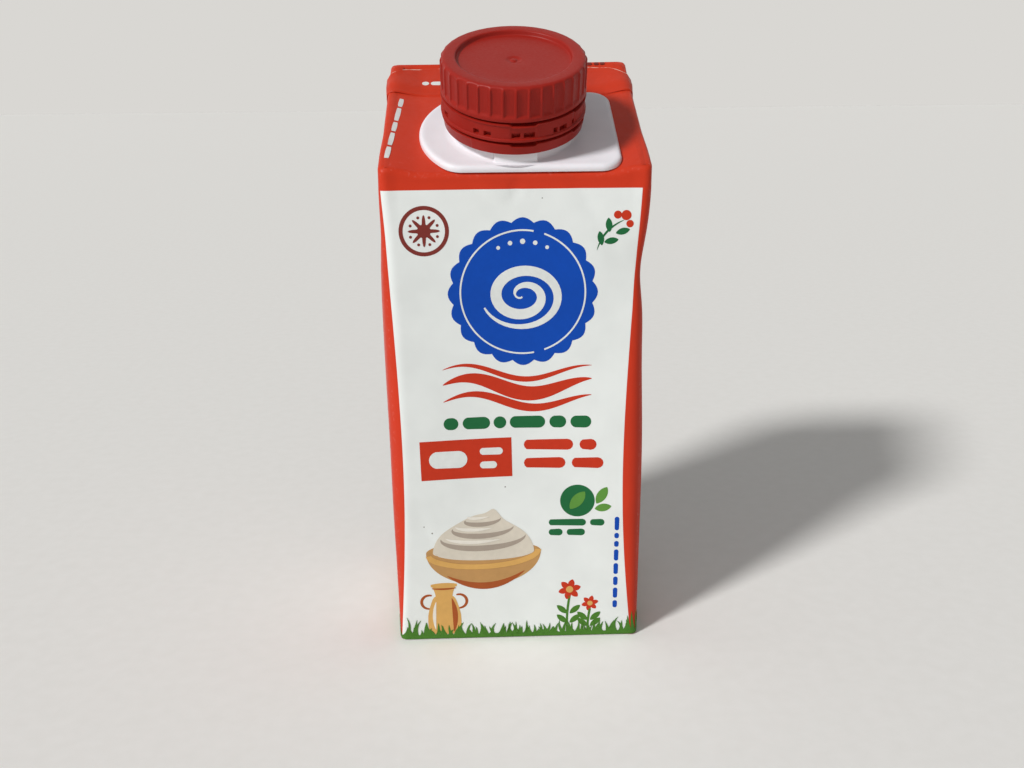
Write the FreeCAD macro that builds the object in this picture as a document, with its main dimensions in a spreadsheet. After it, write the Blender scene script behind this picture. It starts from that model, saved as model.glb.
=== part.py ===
"""Slant-top carton for a small portion of cream, with a screw cap.

The carton stands on z = 0 with the middle of its base at the origin, its front panel towards -Y and
its top panel sloping down to the front. A flanged spout sits on the slope, and carries the lock ring,
the tether strap and the screw cap. Millimetres throughout.
"""
import FreeCAD, Part
import math
import os

import Sketcher

UPWARDS = FreeCAD.Vector(0, 0, 1)
ORIGIN = -1          # the sketcher's own number for a sketch's axes and origin
START, END, CENTRE = 1, 2, 3

# Driving sizes: word alias, value in millimetres, what it is.
SIZES = [
    ("width", 50.0, "carton across the front, fold to fold"),
    ("depth", 38.0, "carton front to back, fold to fold"),
    ("front_height", 98.0, "base to the front corners of the top"),
    ("rise", 18.0, "how much higher the back edge is than the front edge"),
    ("side_bulge", 2.5, "how far the full side panels belly out at half height"),
    ("face_bulge", 0.6, "belly of the front and back panels, which the wide sides keep almost flat"),
    ("rest_bulge", 0.4, "belly left in every panel beside the folded ends"),
    ("fold_radius", 1.1, "rounding of the upright folds beside the folded ends"),
    ("soft_radius", 3.5, "rounding of the upright folds at half height"),
    ("plain_crown", 5.0, "straight height under the front corners, above the belly"),
    ("panel_sink", 1.2, "how far the top panel sinks between its side folds"),
    ("board", 0.45, "thickness of the board laminate"),
    ("fin_gap", 0.1, "back edge of the flange to the fold of the seal fin"),
    ("fin_height", 9.6, "fold of the seal fin to its cut edge"),
    ("spout_margin", 0.2, "front edge of the top panel to the flange"),
    ("flange_thick", 1.3, "thickness of the flange"),
    ("land_front", 1.0, "flange outside the collar, towards the front"),
    ("land_back", 3.1, "flange outside the collar, towards the back"),
    ("land_round", 5.4, "flange outside the collar, on its round side"),
    ("land_straight", 7.3, "flange outside the collar, on its straight side"),
    ("flange_blend", 5.0, "flange outline, blend into its round side"),
    ("flange_corner", 4.2, "flange outline, corners of its straight side"),
    ("flange_round", 0.8, "rounding of the flange's upper edge"),
    ("neck_radius", 11.6, "threaded neck inside the rings"),
    ("ring_clearance", 0.3, "gap between the neck and the rings round it"),
    ("collar_ledge", 0.8, "how much of the rings' foot the collar carries"),
    ("collar_height", 2.5, "height of the collar above the flange"),
    ("ring_wall", 1.6, "wall of the lock ring and the strap"),
    ("ring_height", 1.9, "height of the lock ring"),
    ("strap_height", 3.6, "height of the tether strap"),
    ("slit", 0.3, "slit between the lock ring, the strap and the cap"),
    ("slit_depth", 0.7, "depth of the slit between the ring and the strap"),
    ("window_height", 0.6, "height of the strap's windows"),
    ("window_width", 1.7, "width of the strap's windows"),
    ("window_depth", 0.5, "depth of the strap's windows"),
    ("window_count", 18, "windows round the strap"),
    ("cap_overhang", 0.1, "how far the cap stands out over the rings"),
    ("cap_height", 6.7, "cap from its lower lip to its rim"),
    ("lip_height", 1.1, "plain lip below the ribs"),
    ("rim_width", 2.6, "flat rim between the ribs' root and the sunk disc"),
    ("rim_round", 1.2, "rounding of the cap's rim"),
    ("recess_depth", 0.9, "how deep the cap's disc is sunk"),
    ("rib_depth", 0.3, "how far the ribs stand out"),
    ("rib_width", 0.5, "width of one rib"),
    ("rib_count", 36, "ribs round the cap"),
]

# Sizes that follow from those above: word alias, formula over earlier aliases, what it is.
DERIVED = [
    ("slope", "sqrt(depth^2 + rise^2)", "front edge to back edge, along the top panel"),
    ("ring_radius", "neck_radius + ring_clearance + ring_wall", "outside of the ring and the strap"),
    ("collar_radius", "neck_radius + ring_clearance + collar_ledge", "outside of the collar"),
    ("cap_radius", "ring_radius + cap_overhang", "cap over its ribs"),
    ("rib_root", "cap_radius - rib_depth", "cap between its ribs"),
    ("recess_radius", "rib_root - rim_width", "sunk disc in the cap's top"),
    ("flange_front", "collar_radius + land_front", "spout axis to the flange's front edge"),
    ("flange_back", "collar_radius + land_back", "spout axis to the flange's back edge"),
    ("flange_radius", "collar_radius + land_round", "round side of the flange"),
    ("flange_reach", "collar_radius + land_straight", "spout axis to the flange's straight side"),
    ("spout_set", "spout_margin + flange_front", "front edge to the spout's axis, along the slope"),
    ("fin_foot", "spout_set + flange_back + fin_gap", "front edge to the fin's fold, along the slope"),
    ("ear_reach", "(fin_foot * depth + depth / 2 * rise) / slope", "front fold to an ear's tip, level"),
    ("ear_drop", "(depth / 2 * depth - fin_foot * rise) / slope", "ear's tip below the front corners"),
]

# Heights of the carton's lofted sections, as shares of the bellied height.
SECTION_SHARES = (0.0, 0.1, 0.28, 0.5, 0.72, 0.9, 1.0)


def make_sheet(doc):
    """Keep the driving sizes in a spreadsheet, one alias a row, and the derived ones below them."""
    sheet = doc.addObject("Spreadsheet::Sheet", "Sizes")
    for row, (alias, value, meaning) in enumerate(SIZES, start=1):
        sheet.set(f"A{row}", meaning)
        sheet.set(f"B{row}", str(value))
        sheet.setAlias(f"B{row}", alias)
    for row, (alias, formula, meaning) in enumerate(DERIVED, start=len(SIZES) + 1):
        sheet.set(f"A{row}", meaning)
        sheet.set(f"B{row}", f"={formula}")
        sheet.setAlias(f"B{row}", alias)
    doc.recompute()
    return sheet


doc = FreeCAD.newDocument("CreamCarton")
sheet = make_sheet(doc)
size = {alias: float(sheet.get(alias)) for alias, text, meaning in SIZES + DERIVED}


# ---------------------------------------------------------------- helpers

def origin_item(body, role):
    """One of a body's own origin planes or axes, by its role."""
    return next(item for item in body.Origin.OriginFeatures if item.Role == role)


def sketch_on(body, name, role, lift=None):
    """A sketch on one of the body's origin planes, lifted by an expression if one is given."""
    sketch = body.newObject("Sketcher::SketchObject", name)
    sketch.AttachmentSupport = [(origin_item(body, role), "")]
    sketch.MapMode = "FlatFace"
    if lift is not None:
        sketch.setExpression("AttachmentOffset.Base.z", lift)
    return sketch


def bind(sketch, name, expression, *constraint):
    """Add one dimension to a sketch, with its value bound to the sheet."""
    number = sketch.addConstraint(Sketcher.Constraint(*constraint))
    sketch.renameConstraint(number, name)
    sketch.setExpression(f"Constraints.{name}", expression)


def pin(sketch, name, edge, end, across, along):
    """Hold one end of an edge at a place given by two expressions."""
    bind(sketch, name + "_x", across, "DistanceX", ORIGIN, START, edge, end, 1.0)
    bind(sketch, name + "_y", along, "DistanceY", ORIGIN, START, edge, end, 1.0)


def polygon(sketch, corners, names):
    """A closed outline whose corners are given as values, for the first guess, and as expressions."""
    points = [FreeCAD.Vector(x, y, 0) for x, y in corners]
    for index, start in enumerate(points):
        end = points[(index + 1) % len(points)]
        sketch.addGeometry(Part.LineSegment(start, end), False)
    for index in range(len(points)):
        before = (index - 1) % len(points)
        sketch.addConstraint(Sketcher.Constraint("Coincident", before, END, index, START))
    for index, (across, along) in enumerate(names):
        pin(sketch, f"corner{index}", index, START, across, along)


def circle(sketch, name, radius_name):
    """A circle about the sketch's origin."""
    number = sketch.addGeometry(Part.Circle(FreeCAD.Vector(), UPWARDS, size[radius_name]), False)
    sketch.addConstraint(Sketcher.Constraint("Coincident", number, CENTRE, ORIGIN, START))
    bind(sketch, name, f"Sizes.{radius_name}", "Radius", number, size[radius_name])
    return number


def pad(body, name, sketch, length, reverse=False):
    feature = body.newObject("PartDesign::Pad", name)
    feature.Profile = sketch
    feature.setExpression("Length", length)
    feature.Reversed = reverse
    doc.recompute()
    return feature


def check_cut(body, cut, volume_before):
    """Make sure that a cut has taken something away."""
    doc.recompute()
    if not cut.Shape.Volume < volume_before - 1e-3:
        raise RuntimeError(f"{cut.Name} in {body.Label} cuts nothing")


def revolve(body, name, sketch):
    feature = body.newObject("PartDesign::Revolution", name)
    feature.Profile = sketch
    feature.ReferenceAxis = (sketch, ["V_Axis"])
    feature.Angle = 360.0
    doc.recompute()
    return feature


def polar_pattern(body, name, feature, count):
    pattern = body.newObject("PartDesign::PolarPattern", name)
    pattern.Originals = [feature]
    pattern.Axis = (origin_item(body, "Z_Axis"), [""])
    pattern.Angle = 360.0
    pattern.setExpression("Occurrences", count)
    body.Tip = pattern
    doc.recompute()
    return pattern


# ---------------------------------------------------------------- carton

def panel_radius(half_chord, bulge):
    """Radius of a panel's shallow arc, from half its width and its belly, as an expression."""
    return f"(({half_chord})^2 + ({bulge})^2) / (2 * ({bulge}))"


def section_guess(half_x, half_y, radius_x, radius_y, corner):
    """Centre of the rounded corner that touches the side arc and the face arc from inside."""
    # centre of the side arc on the x axis, centre of the face arc on the y axis
    side = half_x - radius_x
    face = half_y - radius_y
    px, py = half_x - corner, half_y - corner
    for step in range(60):
        # two distances to meet, solved by Newton's method
        to_side = math.hypot(px - side, py)
        to_face = math.hypot(px, py - face)
        error_side = to_side - (radius_x - corner)
        error_face = to_face - (radius_y - corner)
        a, b = (px - side) / to_side, py / to_side
        c, d = px / to_face, (py - face) / to_face
        scale = a * d - b * c
        px -= (error_side * d - error_face * b) / scale
        py -= (error_face * a - error_side * c) / scale
    return px, py


def carton_section(body, name, lift, share):
    """One level section: four shallow panel arcs joined by four rounded folds, all tangent."""
    sketch = sketch_on(body, name, "XY_Plane", lift)
    belly = math.sin(math.pi * share)
    side = size["rest_bulge"] + (size["side_bulge"] - size["rest_bulge"]) * belly
    face = size["rest_bulge"] + (size["face_bulge"] - size["rest_bulge"]) * belly
    corner = size["fold_radius"] + (size["soft_radius"] - size["fold_radius"]) * belly
    half_x = size["width"] / 2 + side - size["rest_bulge"]
    half_y = size["depth"] / 2 + face - size["rest_bulge"]
    radius_x = ((size["depth"] / 2) ** 2 + side ** 2) / (2 * side)
    radius_y = ((size["width"] / 2) ** 2 + face ** 2) / (2 * face)
    px, py = section_guess(half_x, half_y, radius_x, radius_y, corner)

    grow = f"{belly:.6f}"
    side_text = f"(Sizes.rest_bulge + (Sizes.side_bulge - Sizes.rest_bulge) * {grow})"
    face_text = f"(Sizes.rest_bulge + (Sizes.face_bulge - Sizes.rest_bulge) * {grow})"
    corner_text = f"Sizes.fold_radius + (Sizes.soft_radius - Sizes.fold_radius) * {grow}"
    reach_x = f"Sizes.width / 2 + {side_text} - Sizes.rest_bulge"
    reach_y = f"Sizes.depth / 2 + {face_text} - Sizes.rest_bulge"
    radius_x_text = panel_radius("Sizes.depth / 2", side_text)
    radius_y_text = panel_radius("Sizes.width / 2", face_text)

    # anticlockwise: right panel, its fold to the back, back panel, and so on round
    angle_side = math.atan2(py, px - (half_x - radius_x))
    angle_face = math.atan2(py - (half_y - radius_y), px)
    arcs = []
    for turn in range(4):
        upright = turn % 2 == 0
        sign = 1 if turn < 2 else -1
        swing = math.pi / 2 * turn
        if upright:
            centre = (sign * (half_x - radius_x), 0.0)
            radius, spread = radius_x, angle_side
        else:
            centre = (0.0, sign * (half_y - radius_y))
            radius, spread = radius_y, math.pi / 2 - angle_face
        arcs.append((centre, radius, swing - spread, swing + spread))
        fold_x = px if turn in (0, 3) else -px
        fold_y = py if turn in (0, 1) else -py
        next_spread = (math.pi / 2 - angle_face) if upright else angle_side
        arcs.append(((fold_x, fold_y), corner, swing + spread, swing + math.pi / 2 - next_spread))
    for (cx, cy), radius, begin, finish in arcs:
        base = Part.Circle(FreeCAD.Vector(cx, cy, 0), UPWARDS, radius)
        sketch.addGeometry(Part.ArcOfCircle(base, begin, finish), False)
    for index in range(len(arcs)):
        following = (index + 1) % len(arcs)
        sketch.addConstraint(Sketcher.Constraint("Tangent", index, END, following, START))
    for turn in range(4):
        panel, fold = 2 * turn, 2 * turn + 1
        upright = turn % 2 == 0
        sign = "" if turn < 2 else "-"
        radius_text = radius_x_text if upright else radius_y_text
        bind(sketch, f"panel{turn}", radius_text, "Radius", panel, arcs[panel][1])
        bind(sketch, f"fold{turn}", corner_text, "Radius", fold, corner)
        reach = reach_x if upright else reach_y
        away = f"{sign}({reach} - {radius_text})"
        if upright:
            pin(sketch, f"middle{turn}", panel, CENTRE, away, "0")
        else:
            pin(sketch, f"middle{turn}", panel, CENTRE, "0", away)
    return sketch


def make_carton():
    """Bellied body with its slanted top, the folded seal fin and the two folded ears."""
    body = doc.addObject("PartDesign::Body", "carton")
    bellied = "(Sizes.front_height - Sizes.plain_crown)"
    sections = []
    for number, share in enumerate(SECTION_SHARES):
        sections.append(carton_section(body, f"section{number}", f"{bellied} * {share}", share))
    doc.recompute()
    loft = body.newObject("PartDesign::AdditiveLoft", "filled_body")
    loft.Profile = sections[0]
    loft.Sections = sections[1:]
    loft.Ruled = False
    doc.recompute()

    crown = carton_section(body, "crown_outline", bellied, 0.0)
    uncut = pad(body, "crown", crown, "Sizes.plain_crown + Sizes.rise").Shape.Volume

    # the slanted top: everything above the sunk panel goes
    half = size["depth"] / 2
    low = size["front_height"] - size["panel_sink"]
    high = low + size["rise"]
    over = size["depth"]
    slant = sketch_on(body, "slant_outline", "YZ_Plane")
    run = "Sizes.rise / Sizes.depth * (Sizes.depth + 2 * Sizes.face_bulge)"
    low_text = "Sizes.front_height - Sizes.panel_sink"
    reach_text = "Sizes.depth / 2 + Sizes.face_bulge"
    tilt_low = f"{low_text} - Sizes.rise / Sizes.depth * Sizes.face_bulge"
    reach = half + size["face_bulge"]
    step = size["rise"] / size["depth"] * size["face_bulge"]
    polygon(
        slant,
        [(-reach, low - step), (reach, high + step), (reach, high + over), (-reach, high + over)],
        [
            (f"-({reach_text})", tilt_low),
            (reach_text, f"{tilt_low} + {run}"),
            (reach_text, f"{low_text} + Sizes.rise + Sizes.depth"),
            (f"-({reach_text})", f"{low_text} + Sizes.rise + Sizes.depth"),
        ],
    )
    cut = body.newObject("PartDesign::Pocket", "slanted_top")
    cut.Profile = slant
    cut.Type = 1
    cut.Midplane = True
    check_cut(body, cut, uncut)

    # folded ears: a triangle of doubled board on each side, its foot along the slanted edge
    for side, role_sign in (("left", -1), ("right", 1)):
        ear = sketch_on(body, f"{side}_ear_outline", "YZ_Plane", f"{role_sign} * Sizes.width / 2")
        front = size["front_height"]
        polygon(
            ear,
            [
                (-half, front),
                (size["ear_reach"] - half, front - size["ear_drop"]),
                (half, front + size["rise"]),
            ],
            [
                ("-Sizes.depth / 2", "Sizes.front_height"),
                ("Sizes.ear_reach - Sizes.depth / 2", "Sizes.front_height - Sizes.ear_drop"),
                ("Sizes.depth / 2", "Sizes.front_height + Sizes.rise"),
            ],
        )
        flap = body.newObject("PartDesign::Pad", f"{side}_ear")
        flap.Profile = ear
        # half of the length goes inwards, so that the ear is rooted in the side panel
        flap.Midplane = True
        flap.setExpression("Length", "4 * Sizes.board")
        doc.recompute()

    # seal fin, folded back flat on the slope behind its foot
    fin = sketch_on(body, "fin_outline", "YZ_Plane")
    lean = math.atan2(size["rise"], size["depth"])
    length = size["slope"]
    along = "Sizes.fin_foot / Sizes.slope"
    beyond = "(Sizes.fin_foot + Sizes.fin_height) / Sizes.slope"
    thick_y = "2 * Sizes.board * Sizes.rise / Sizes.slope"
    thick_z = "2 * Sizes.board * Sizes.depth / Sizes.slope"
    guess, names = [], []
    for share, text in ((size["fin_foot"], along), (size["fin_foot"] + size["fin_height"], beyond)):
        for layer in (-1, 1):
            guess.append((
                -half + share / length * size["depth"] - layer * 2 * size["board"] * math.sin(lean),
                low + share / length * size["rise"] + layer * 2 * size["board"] * math.cos(lean),
            ))
            sign = "+" if layer < 0 else "-"
            other = "-" if layer < 0 else "+"
            names.append((
                f"-Sizes.depth / 2 + Sizes.depth * {text} {sign} {thick_y}",
                f"{low_text} + Sizes.rise * {text} {other} {thick_z}",
            ))
    order = (0, 2, 3, 1)
    polygon(fin, [guess[index] for index in order], [names[index] for index in order])
    strip = body.newObject("PartDesign::Pad", "seal_fin")
    strip.Profile = fin
    strip.Midplane = True
    strip.setExpression("Length", "Sizes.width")
    doc.recompute()
    return body


# ---------------------------------------------------------------- spout, rings and cap

def slope_place(height_names):
    """Place a body on the spout's axis, a sum of heights above the sunk top panel."""
    lift = sum(size[name] for name in height_names)
    lean = math.atan2(size["rise"], size["depth"])
    run = size["spout_set"]
    base = FreeCAD.Vector(
        0,
        -size["depth"] / 2 + run * math.cos(lean) - lift * math.sin(lean),
        size["front_height"] - size["panel_sink"] + run * math.sin(lean) + lift * math.cos(lean),
    )
    return FreeCAD.Placement(base, FreeCAD.Rotation(FreeCAD.Vector(1, 0, 0), math.degrees(lean)))


def bind_place(body, height_names):
    """Tie the body's place and lean to the sheet as well, so that the document stays parametric."""
    body.Placement = slope_place(height_names)
    lift = " + ".join(f"Sizes.{name}" for name in height_names) or "0"
    body.setExpression(
        "Placement.Base.y",
        f"-Sizes.depth / 2 + (Sizes.spout_set * Sizes.depth - ({lift}) * Sizes.rise) / Sizes.slope",
    )
    body.setExpression(
        "Placement.Base.z",
        "Sizes.front_height - Sizes.panel_sink"
        f" + (Sizes.spout_set * Sizes.rise + ({lift}) * Sizes.depth) / Sizes.slope",
    )
    body.setExpression("Placement.Rotation.Angle", "atan(Sizes.rise / Sizes.depth)")


def upright_edges(shape, wanted):
    """Names of the straight edges along z whose place passes a test."""
    found = []
    for number, edge in enumerate(shape.Edges, start=1):
        start, end = edge.Vertexes[0].Point, edge.Vertexes[-1].Point
        if abs(start.x - end.x) < 1e-6 and abs(start.y - end.y) < 1e-6 and wanted(start):
            found.append(f"Edge{number}")
    return found


def make_spout():
    """Flange with one round side and one straight side, its collar and the neck in the rings."""
    body = doc.addObject("PartDesign::Body", "spout")
    outline = sketch_on(body, "flange_outline", "XY_Plane")
    radius, reach = size["flange_radius"], size["flange_reach"]
    front, back = size["flange_front"], size["flange_back"]
    front_x = -math.sqrt(radius ** 2 - front ** 2)
    back_x = -math.sqrt(radius ** 2 - back ** 2)
    corners = [(front_x, -front), (reach, -front), (reach, back), (back_x, back)]
    points = [FreeCAD.Vector(x, y, 0) for x, y in corners]
    for start, end in zip(points, points[1:]):
        outline.addGeometry(Part.LineSegment(start, end), False)
    round_side = Part.Circle(FreeCAD.Vector(), UPWARDS, radius)
    begin = math.atan2(back, back_x)
    finish = math.atan2(-front, front_x) + 2 * math.pi
    arc = outline.addGeometry(Part.ArcOfCircle(round_side, begin, finish), False)
    for first, second in ((0, 1), (1, 2)):
        outline.addConstraint(Sketcher.Constraint("Coincident", first, END, second, START))
    outline.addConstraint(Sketcher.Constraint("Coincident", 2, END, arc, START))
    outline.addConstraint(Sketcher.Constraint("Coincident", arc, END, 0, START))
    outline.addConstraint(Sketcher.Constraint("Coincident", arc, CENTRE, ORIGIN, START))
    outline.addConstraint(Sketcher.Constraint("Horizontal", 0))
    outline.addConstraint(Sketcher.Constraint("Vertical", 1))
    outline.addConstraint(Sketcher.Constraint("Horizontal", 2))
    bind(outline, "round_side", "Sizes.flange_radius", "Radius", arc, radius)
    pin(outline, "near_corner", 1, START, "Sizes.flange_reach", "-Sizes.flange_front")
    bind(outline, "far_side", "Sizes.flange_back", "DistanceY", ORIGIN, START, 2, START, back)
    plate = pad(body, "flange", outline, "Sizes.flange_thick")

    blends = body.newObject("PartDesign::Fillet", "flange_blends")
    blends.Base = (plate, upright_edges(plate.Shape, lambda point: point.x < 0))
    blends.setExpression("Radius", "Sizes.flange_blend")
    doc.recompute()
    corner_round = body.newObject("PartDesign::Fillet", "flange_corners")
    corner_round.Base = (blends, upright_edges(blends.Shape, lambda point: point.x > reach - 1e-6))
    corner_round.setExpression("Radius", "Sizes.flange_corner")
    doc.recompute()
    top_face = max(
        range(len(corner_round.Shape.Faces)),
        key=lambda index: corner_round.Shape.Faces[index].CenterOfMass.z,
    )
    edge_round = body.newObject("PartDesign::Fillet", "flange_edge")
    edge_round.Base = (corner_round, [f"Face{top_face + 1}"])
    edge_round.setExpression("Radius", "Sizes.flange_round")
    doc.recompute()

    collar = sketch_on(body, "collar_outline", "XY_Plane")
    circle(collar, "collar", "collar_radius")
    pad(body, "collar", collar, "Sizes.flange_thick + Sizes.collar_height")
    neck = sketch_on(body, "neck_outline", "XY_Plane")
    circle(neck, "neck", "neck_radius")
    pad(
        body, "neck", neck,
        "Sizes.flange_thick + Sizes.collar_height + Sizes.ring_height + Sizes.strap_height"
        " + 2 * Sizes.slit",
    )
    bind_place(body, [])
    return body


def make_rings():
    """Lock ring and tether strap, one moulding: a slit parts them, and windows pierce the strap."""
    body = doc.addObject("PartDesign::Body", "tether_band")
    outer = size["ring_radius"]
    inner = outer - size["ring_wall"]
    ring, slit, strap = size["ring_height"], size["slit"], size["strap_height"]
    web = outer - size["slit_depth"]
    inner_text = "Sizes.ring_radius - Sizes.ring_wall"
    outer_text = "Sizes.ring_radius"
    web_text = "Sizes.ring_radius - Sizes.slit_depth"
    ring_text = "Sizes.ring_height"
    over_text = "Sizes.ring_height + Sizes.slit"
    top_text = "Sizes.ring_height + Sizes.slit + Sizes.strap_height"
    profile = sketch_on(body, "band_profile", "XZ_Plane")
    polygon(
        profile,
        [
            (inner, 0), (outer, 0), (outer, ring), (web, ring),
            (web, ring + slit), (outer, ring + slit), (outer, ring + slit + strap),
            (inner, ring + slit + strap),
        ],
        [
            (inner_text, "0"), (outer_text, "0"), (outer_text, ring_text), (web_text, ring_text),
            (web_text, over_text), (outer_text, over_text), (outer_text, top_text),
            (inner_text, top_text),
        ],
    )
    whole = revolve(body, "rings", profile).Shape.Volume

    # one window, cut inwards from the strap's outside near its lower edge, and repeated round it
    window = sketch_on(body, "window_outline", "XZ_Plane", "Sizes.ring_radius - Sizes.window_depth")
    half = size["window_width"] / 2
    low = ring + slit + size["window_height"]
    high = low + size["window_height"]
    half_text = "Sizes.window_width / 2"
    low_text = over_text + " + Sizes.window_height"
    high_text = low_text + " + Sizes.window_height"
    polygon(
        window,
        [(-half, low), (half, low), (half, high), (-half, high)],
        [
            (f"-{half_text}", low_text), (half_text, low_text),
            (half_text, high_text), (f"-{half_text}", high_text),
        ],
    )
    opening = body.newObject("PartDesign::Pocket", "window")
    opening.Profile = window
    opening.setExpression("Length", "2 * Sizes.window_depth")
    opening.Reversed = True
    check_cut(body, opening, whole)
    polar_pattern(body, "windows", opening, "Sizes.window_count")
    bind_place(body, ["flange_thick", "collar_height"])
    return body


def make_cap():
    """Screw cap: sunk disc, rounded rim, ribbed skirt and plain lower lip. Closed, so solid."""
    body = doc.addObject("PartDesign::Body", "screw_cap")
    outer, root = size["cap_radius"], size["rib_root"]
    top, lip = size["cap_height"], size["lip_height"]
    rim, recess, sunk = size["rim_round"], size["recess_radius"], size["recess_depth"]
    profile = sketch_on(body, "cap_profile", "XZ_Plane")
    polygon(
        profile,
        [
            (0, 0), (outer, 0), (outer, lip), (root, lip), (root, top),
            (recess, top), (recess, top - sunk), (0, top - sunk),
        ],
        [
            ("0", "0"), ("Sizes.cap_radius", "0"), ("Sizes.cap_radius", "Sizes.lip_height"),
            ("Sizes.rib_root", "Sizes.lip_height"), ("Sizes.rib_root", "Sizes.cap_height"),
            ("Sizes.recess_radius", "Sizes.cap_height"),
            ("Sizes.recess_radius", "Sizes.cap_height - Sizes.recess_depth"),
            ("0", "Sizes.cap_height - Sizes.recess_depth"),
        ],
    )
    turned = revolve(body, "shell", profile)

    rim_edges = []
    for number, edge in enumerate(turned.Shape.Edges, start=1):
        box = edge.BoundBox
        if box.ZLength < 1e-6 and abs(box.ZMax - top) < 1e-6 and abs(box.XMax - root) < 1e-3:
            rim_edges.append(f"Edge{number}")
    rounding = body.newObject("PartDesign::Fillet", "rounded_rim")
    rounding.Base = (turned, rim_edges)
    rounding.setExpression("Radius", "Sizes.rim_round")
    doc.recompute()

    # one rib, from the lip up to where the rim starts to round, and repeated round the skirt
    rib = sketch_on(body, "rib_outline", "XY_Plane", "Sizes.lip_height")
    half = size["rib_width"] / 2
    foot = root - size["rib_depth"]
    polygon(
        rib,
        [(foot, -half), (outer, -half / 2), (outer, half / 2), (foot, half)],
        [
            ("Sizes.rib_root - Sizes.rib_depth", "-Sizes.rib_width / 2"),
            ("Sizes.cap_radius", "-Sizes.rib_width / 4"),
            ("Sizes.cap_radius", "Sizes.rib_width / 4"),
            ("Sizes.rib_root - Sizes.rib_depth", "Sizes.rib_width / 2"),
        ],
    )
    bar = pad(body, "rib", rib, "Sizes.cap_height - Sizes.lip_height - Sizes.rim_round")
    polar_pattern(body, "ribs", bar, "Sizes.rib_count")
    bind_place(
        body,
        ["flange_thick", "collar_height", "ring_height", "slit", "strap_height", "slit"],
    )
    return body


# ---------------------------------------------------------------- build, check and export

bodies = [make_carton(), make_spout(), make_rings(), make_cap()]
doc.recompute()

for item in doc.Objects:
    if "Invalid" in item.State or "Error" in item.State:
        raise RuntimeError(f"{item.Name} failed: {item.State}")
for body in bodies:
    if body.Shape.isNull() or not body.Shape.isValid() or len(body.Shape.Solids) != 1:
        raise RuntimeError(f"{body.Label} is not one valid solid")

os.makedirs("parts", exist_ok=True)
for body in bodies:
    body.Shape.exportStep(f"parts/{body.Label}.step")
    box = body.Shape.BoundBox
    print(
        f"{body.Label}: {body.Shape.Volume / 1000:.2f} cm3,"
        f" x {box.XMin:.2f}..{box.XMax:.2f}, y {box.YMin:.2f}..{box.YMax:.2f},"
        f" z {box.ZMin:.2f}..{box.ZMax:.2f}"
    )
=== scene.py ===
"""Looks of the slant-top cream carton: printed board, seal fin, white flange, red rings and cap.

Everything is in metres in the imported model's frame: the carton stands on z = 0, its front faces -Y and
its top slopes down to the front. Run as a script, it builds the pieces from the sidebar's settings.
"""

import math
import random

import bmesh
import bpy
from mathutils import Euler, Matrix, Vector


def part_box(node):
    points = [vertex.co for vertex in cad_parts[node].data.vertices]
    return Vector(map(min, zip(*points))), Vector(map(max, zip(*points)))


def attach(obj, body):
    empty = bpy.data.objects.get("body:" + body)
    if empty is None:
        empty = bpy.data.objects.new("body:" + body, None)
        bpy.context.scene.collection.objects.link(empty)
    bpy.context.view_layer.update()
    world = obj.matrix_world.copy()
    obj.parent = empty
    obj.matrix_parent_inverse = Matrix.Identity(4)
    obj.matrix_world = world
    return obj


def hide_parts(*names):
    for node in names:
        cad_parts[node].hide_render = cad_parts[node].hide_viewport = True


bl_info = {
    "name": "Cream Carton Looks",
    "version": (1, 0, 0),
    "blender": (4, 5, 0),
    "location": "3D View > Sidebar > Carton",
    "description": "Builds the printed board, spout, rings and cap of a slant-top cream carton",
    "category": "Object",
}

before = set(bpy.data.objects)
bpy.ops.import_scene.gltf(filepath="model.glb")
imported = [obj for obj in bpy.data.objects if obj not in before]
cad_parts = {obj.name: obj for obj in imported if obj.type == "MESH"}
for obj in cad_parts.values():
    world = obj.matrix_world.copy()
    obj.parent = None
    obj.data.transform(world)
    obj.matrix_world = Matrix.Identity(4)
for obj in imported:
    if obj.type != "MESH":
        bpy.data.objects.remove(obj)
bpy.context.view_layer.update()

MM = 0.001
QUARTER_TURN = math.pi / 2
SLIGHT = 1e-6           # slack for finding the faces of a cube that runs from -1 to 1
BLANK_SCALE = 200.0     # millimetres of blank that one unit of its map stands for
FILM = 0.025 * MM       # thickness of one printed layer, enough that none flickers through another


def linear(code):
    """A colour written as an sRGB hex code, as linear red, green, blue and alpha."""
    channels = [int(code[index:index + 2], 16) / 255 for index in (1, 3, 5)]
    curved = [c / 12.92 if c <= 0.04045 else ((c + 0.055) / 1.055) ** 2.4 for c in channels]
    return (*curved, 1.0)


# ---------------------------------------------------------------- settings

def length(name, millimetres, description):
    """A length property whose default is written in millimetres."""
    return bpy.props.FloatProperty(
        name=name, description=description, default=millimetres * MM, unit="LENGTH",
    )


def ink(name, code, description):
    """A colour property whose default is written as an sRGB hex code."""
    return bpy.props.FloatVectorProperty(
        name=name, description=description, default=linear(code), size=4, subtype="COLOR",
        min=0.0, max=1.0,
    )


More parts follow.
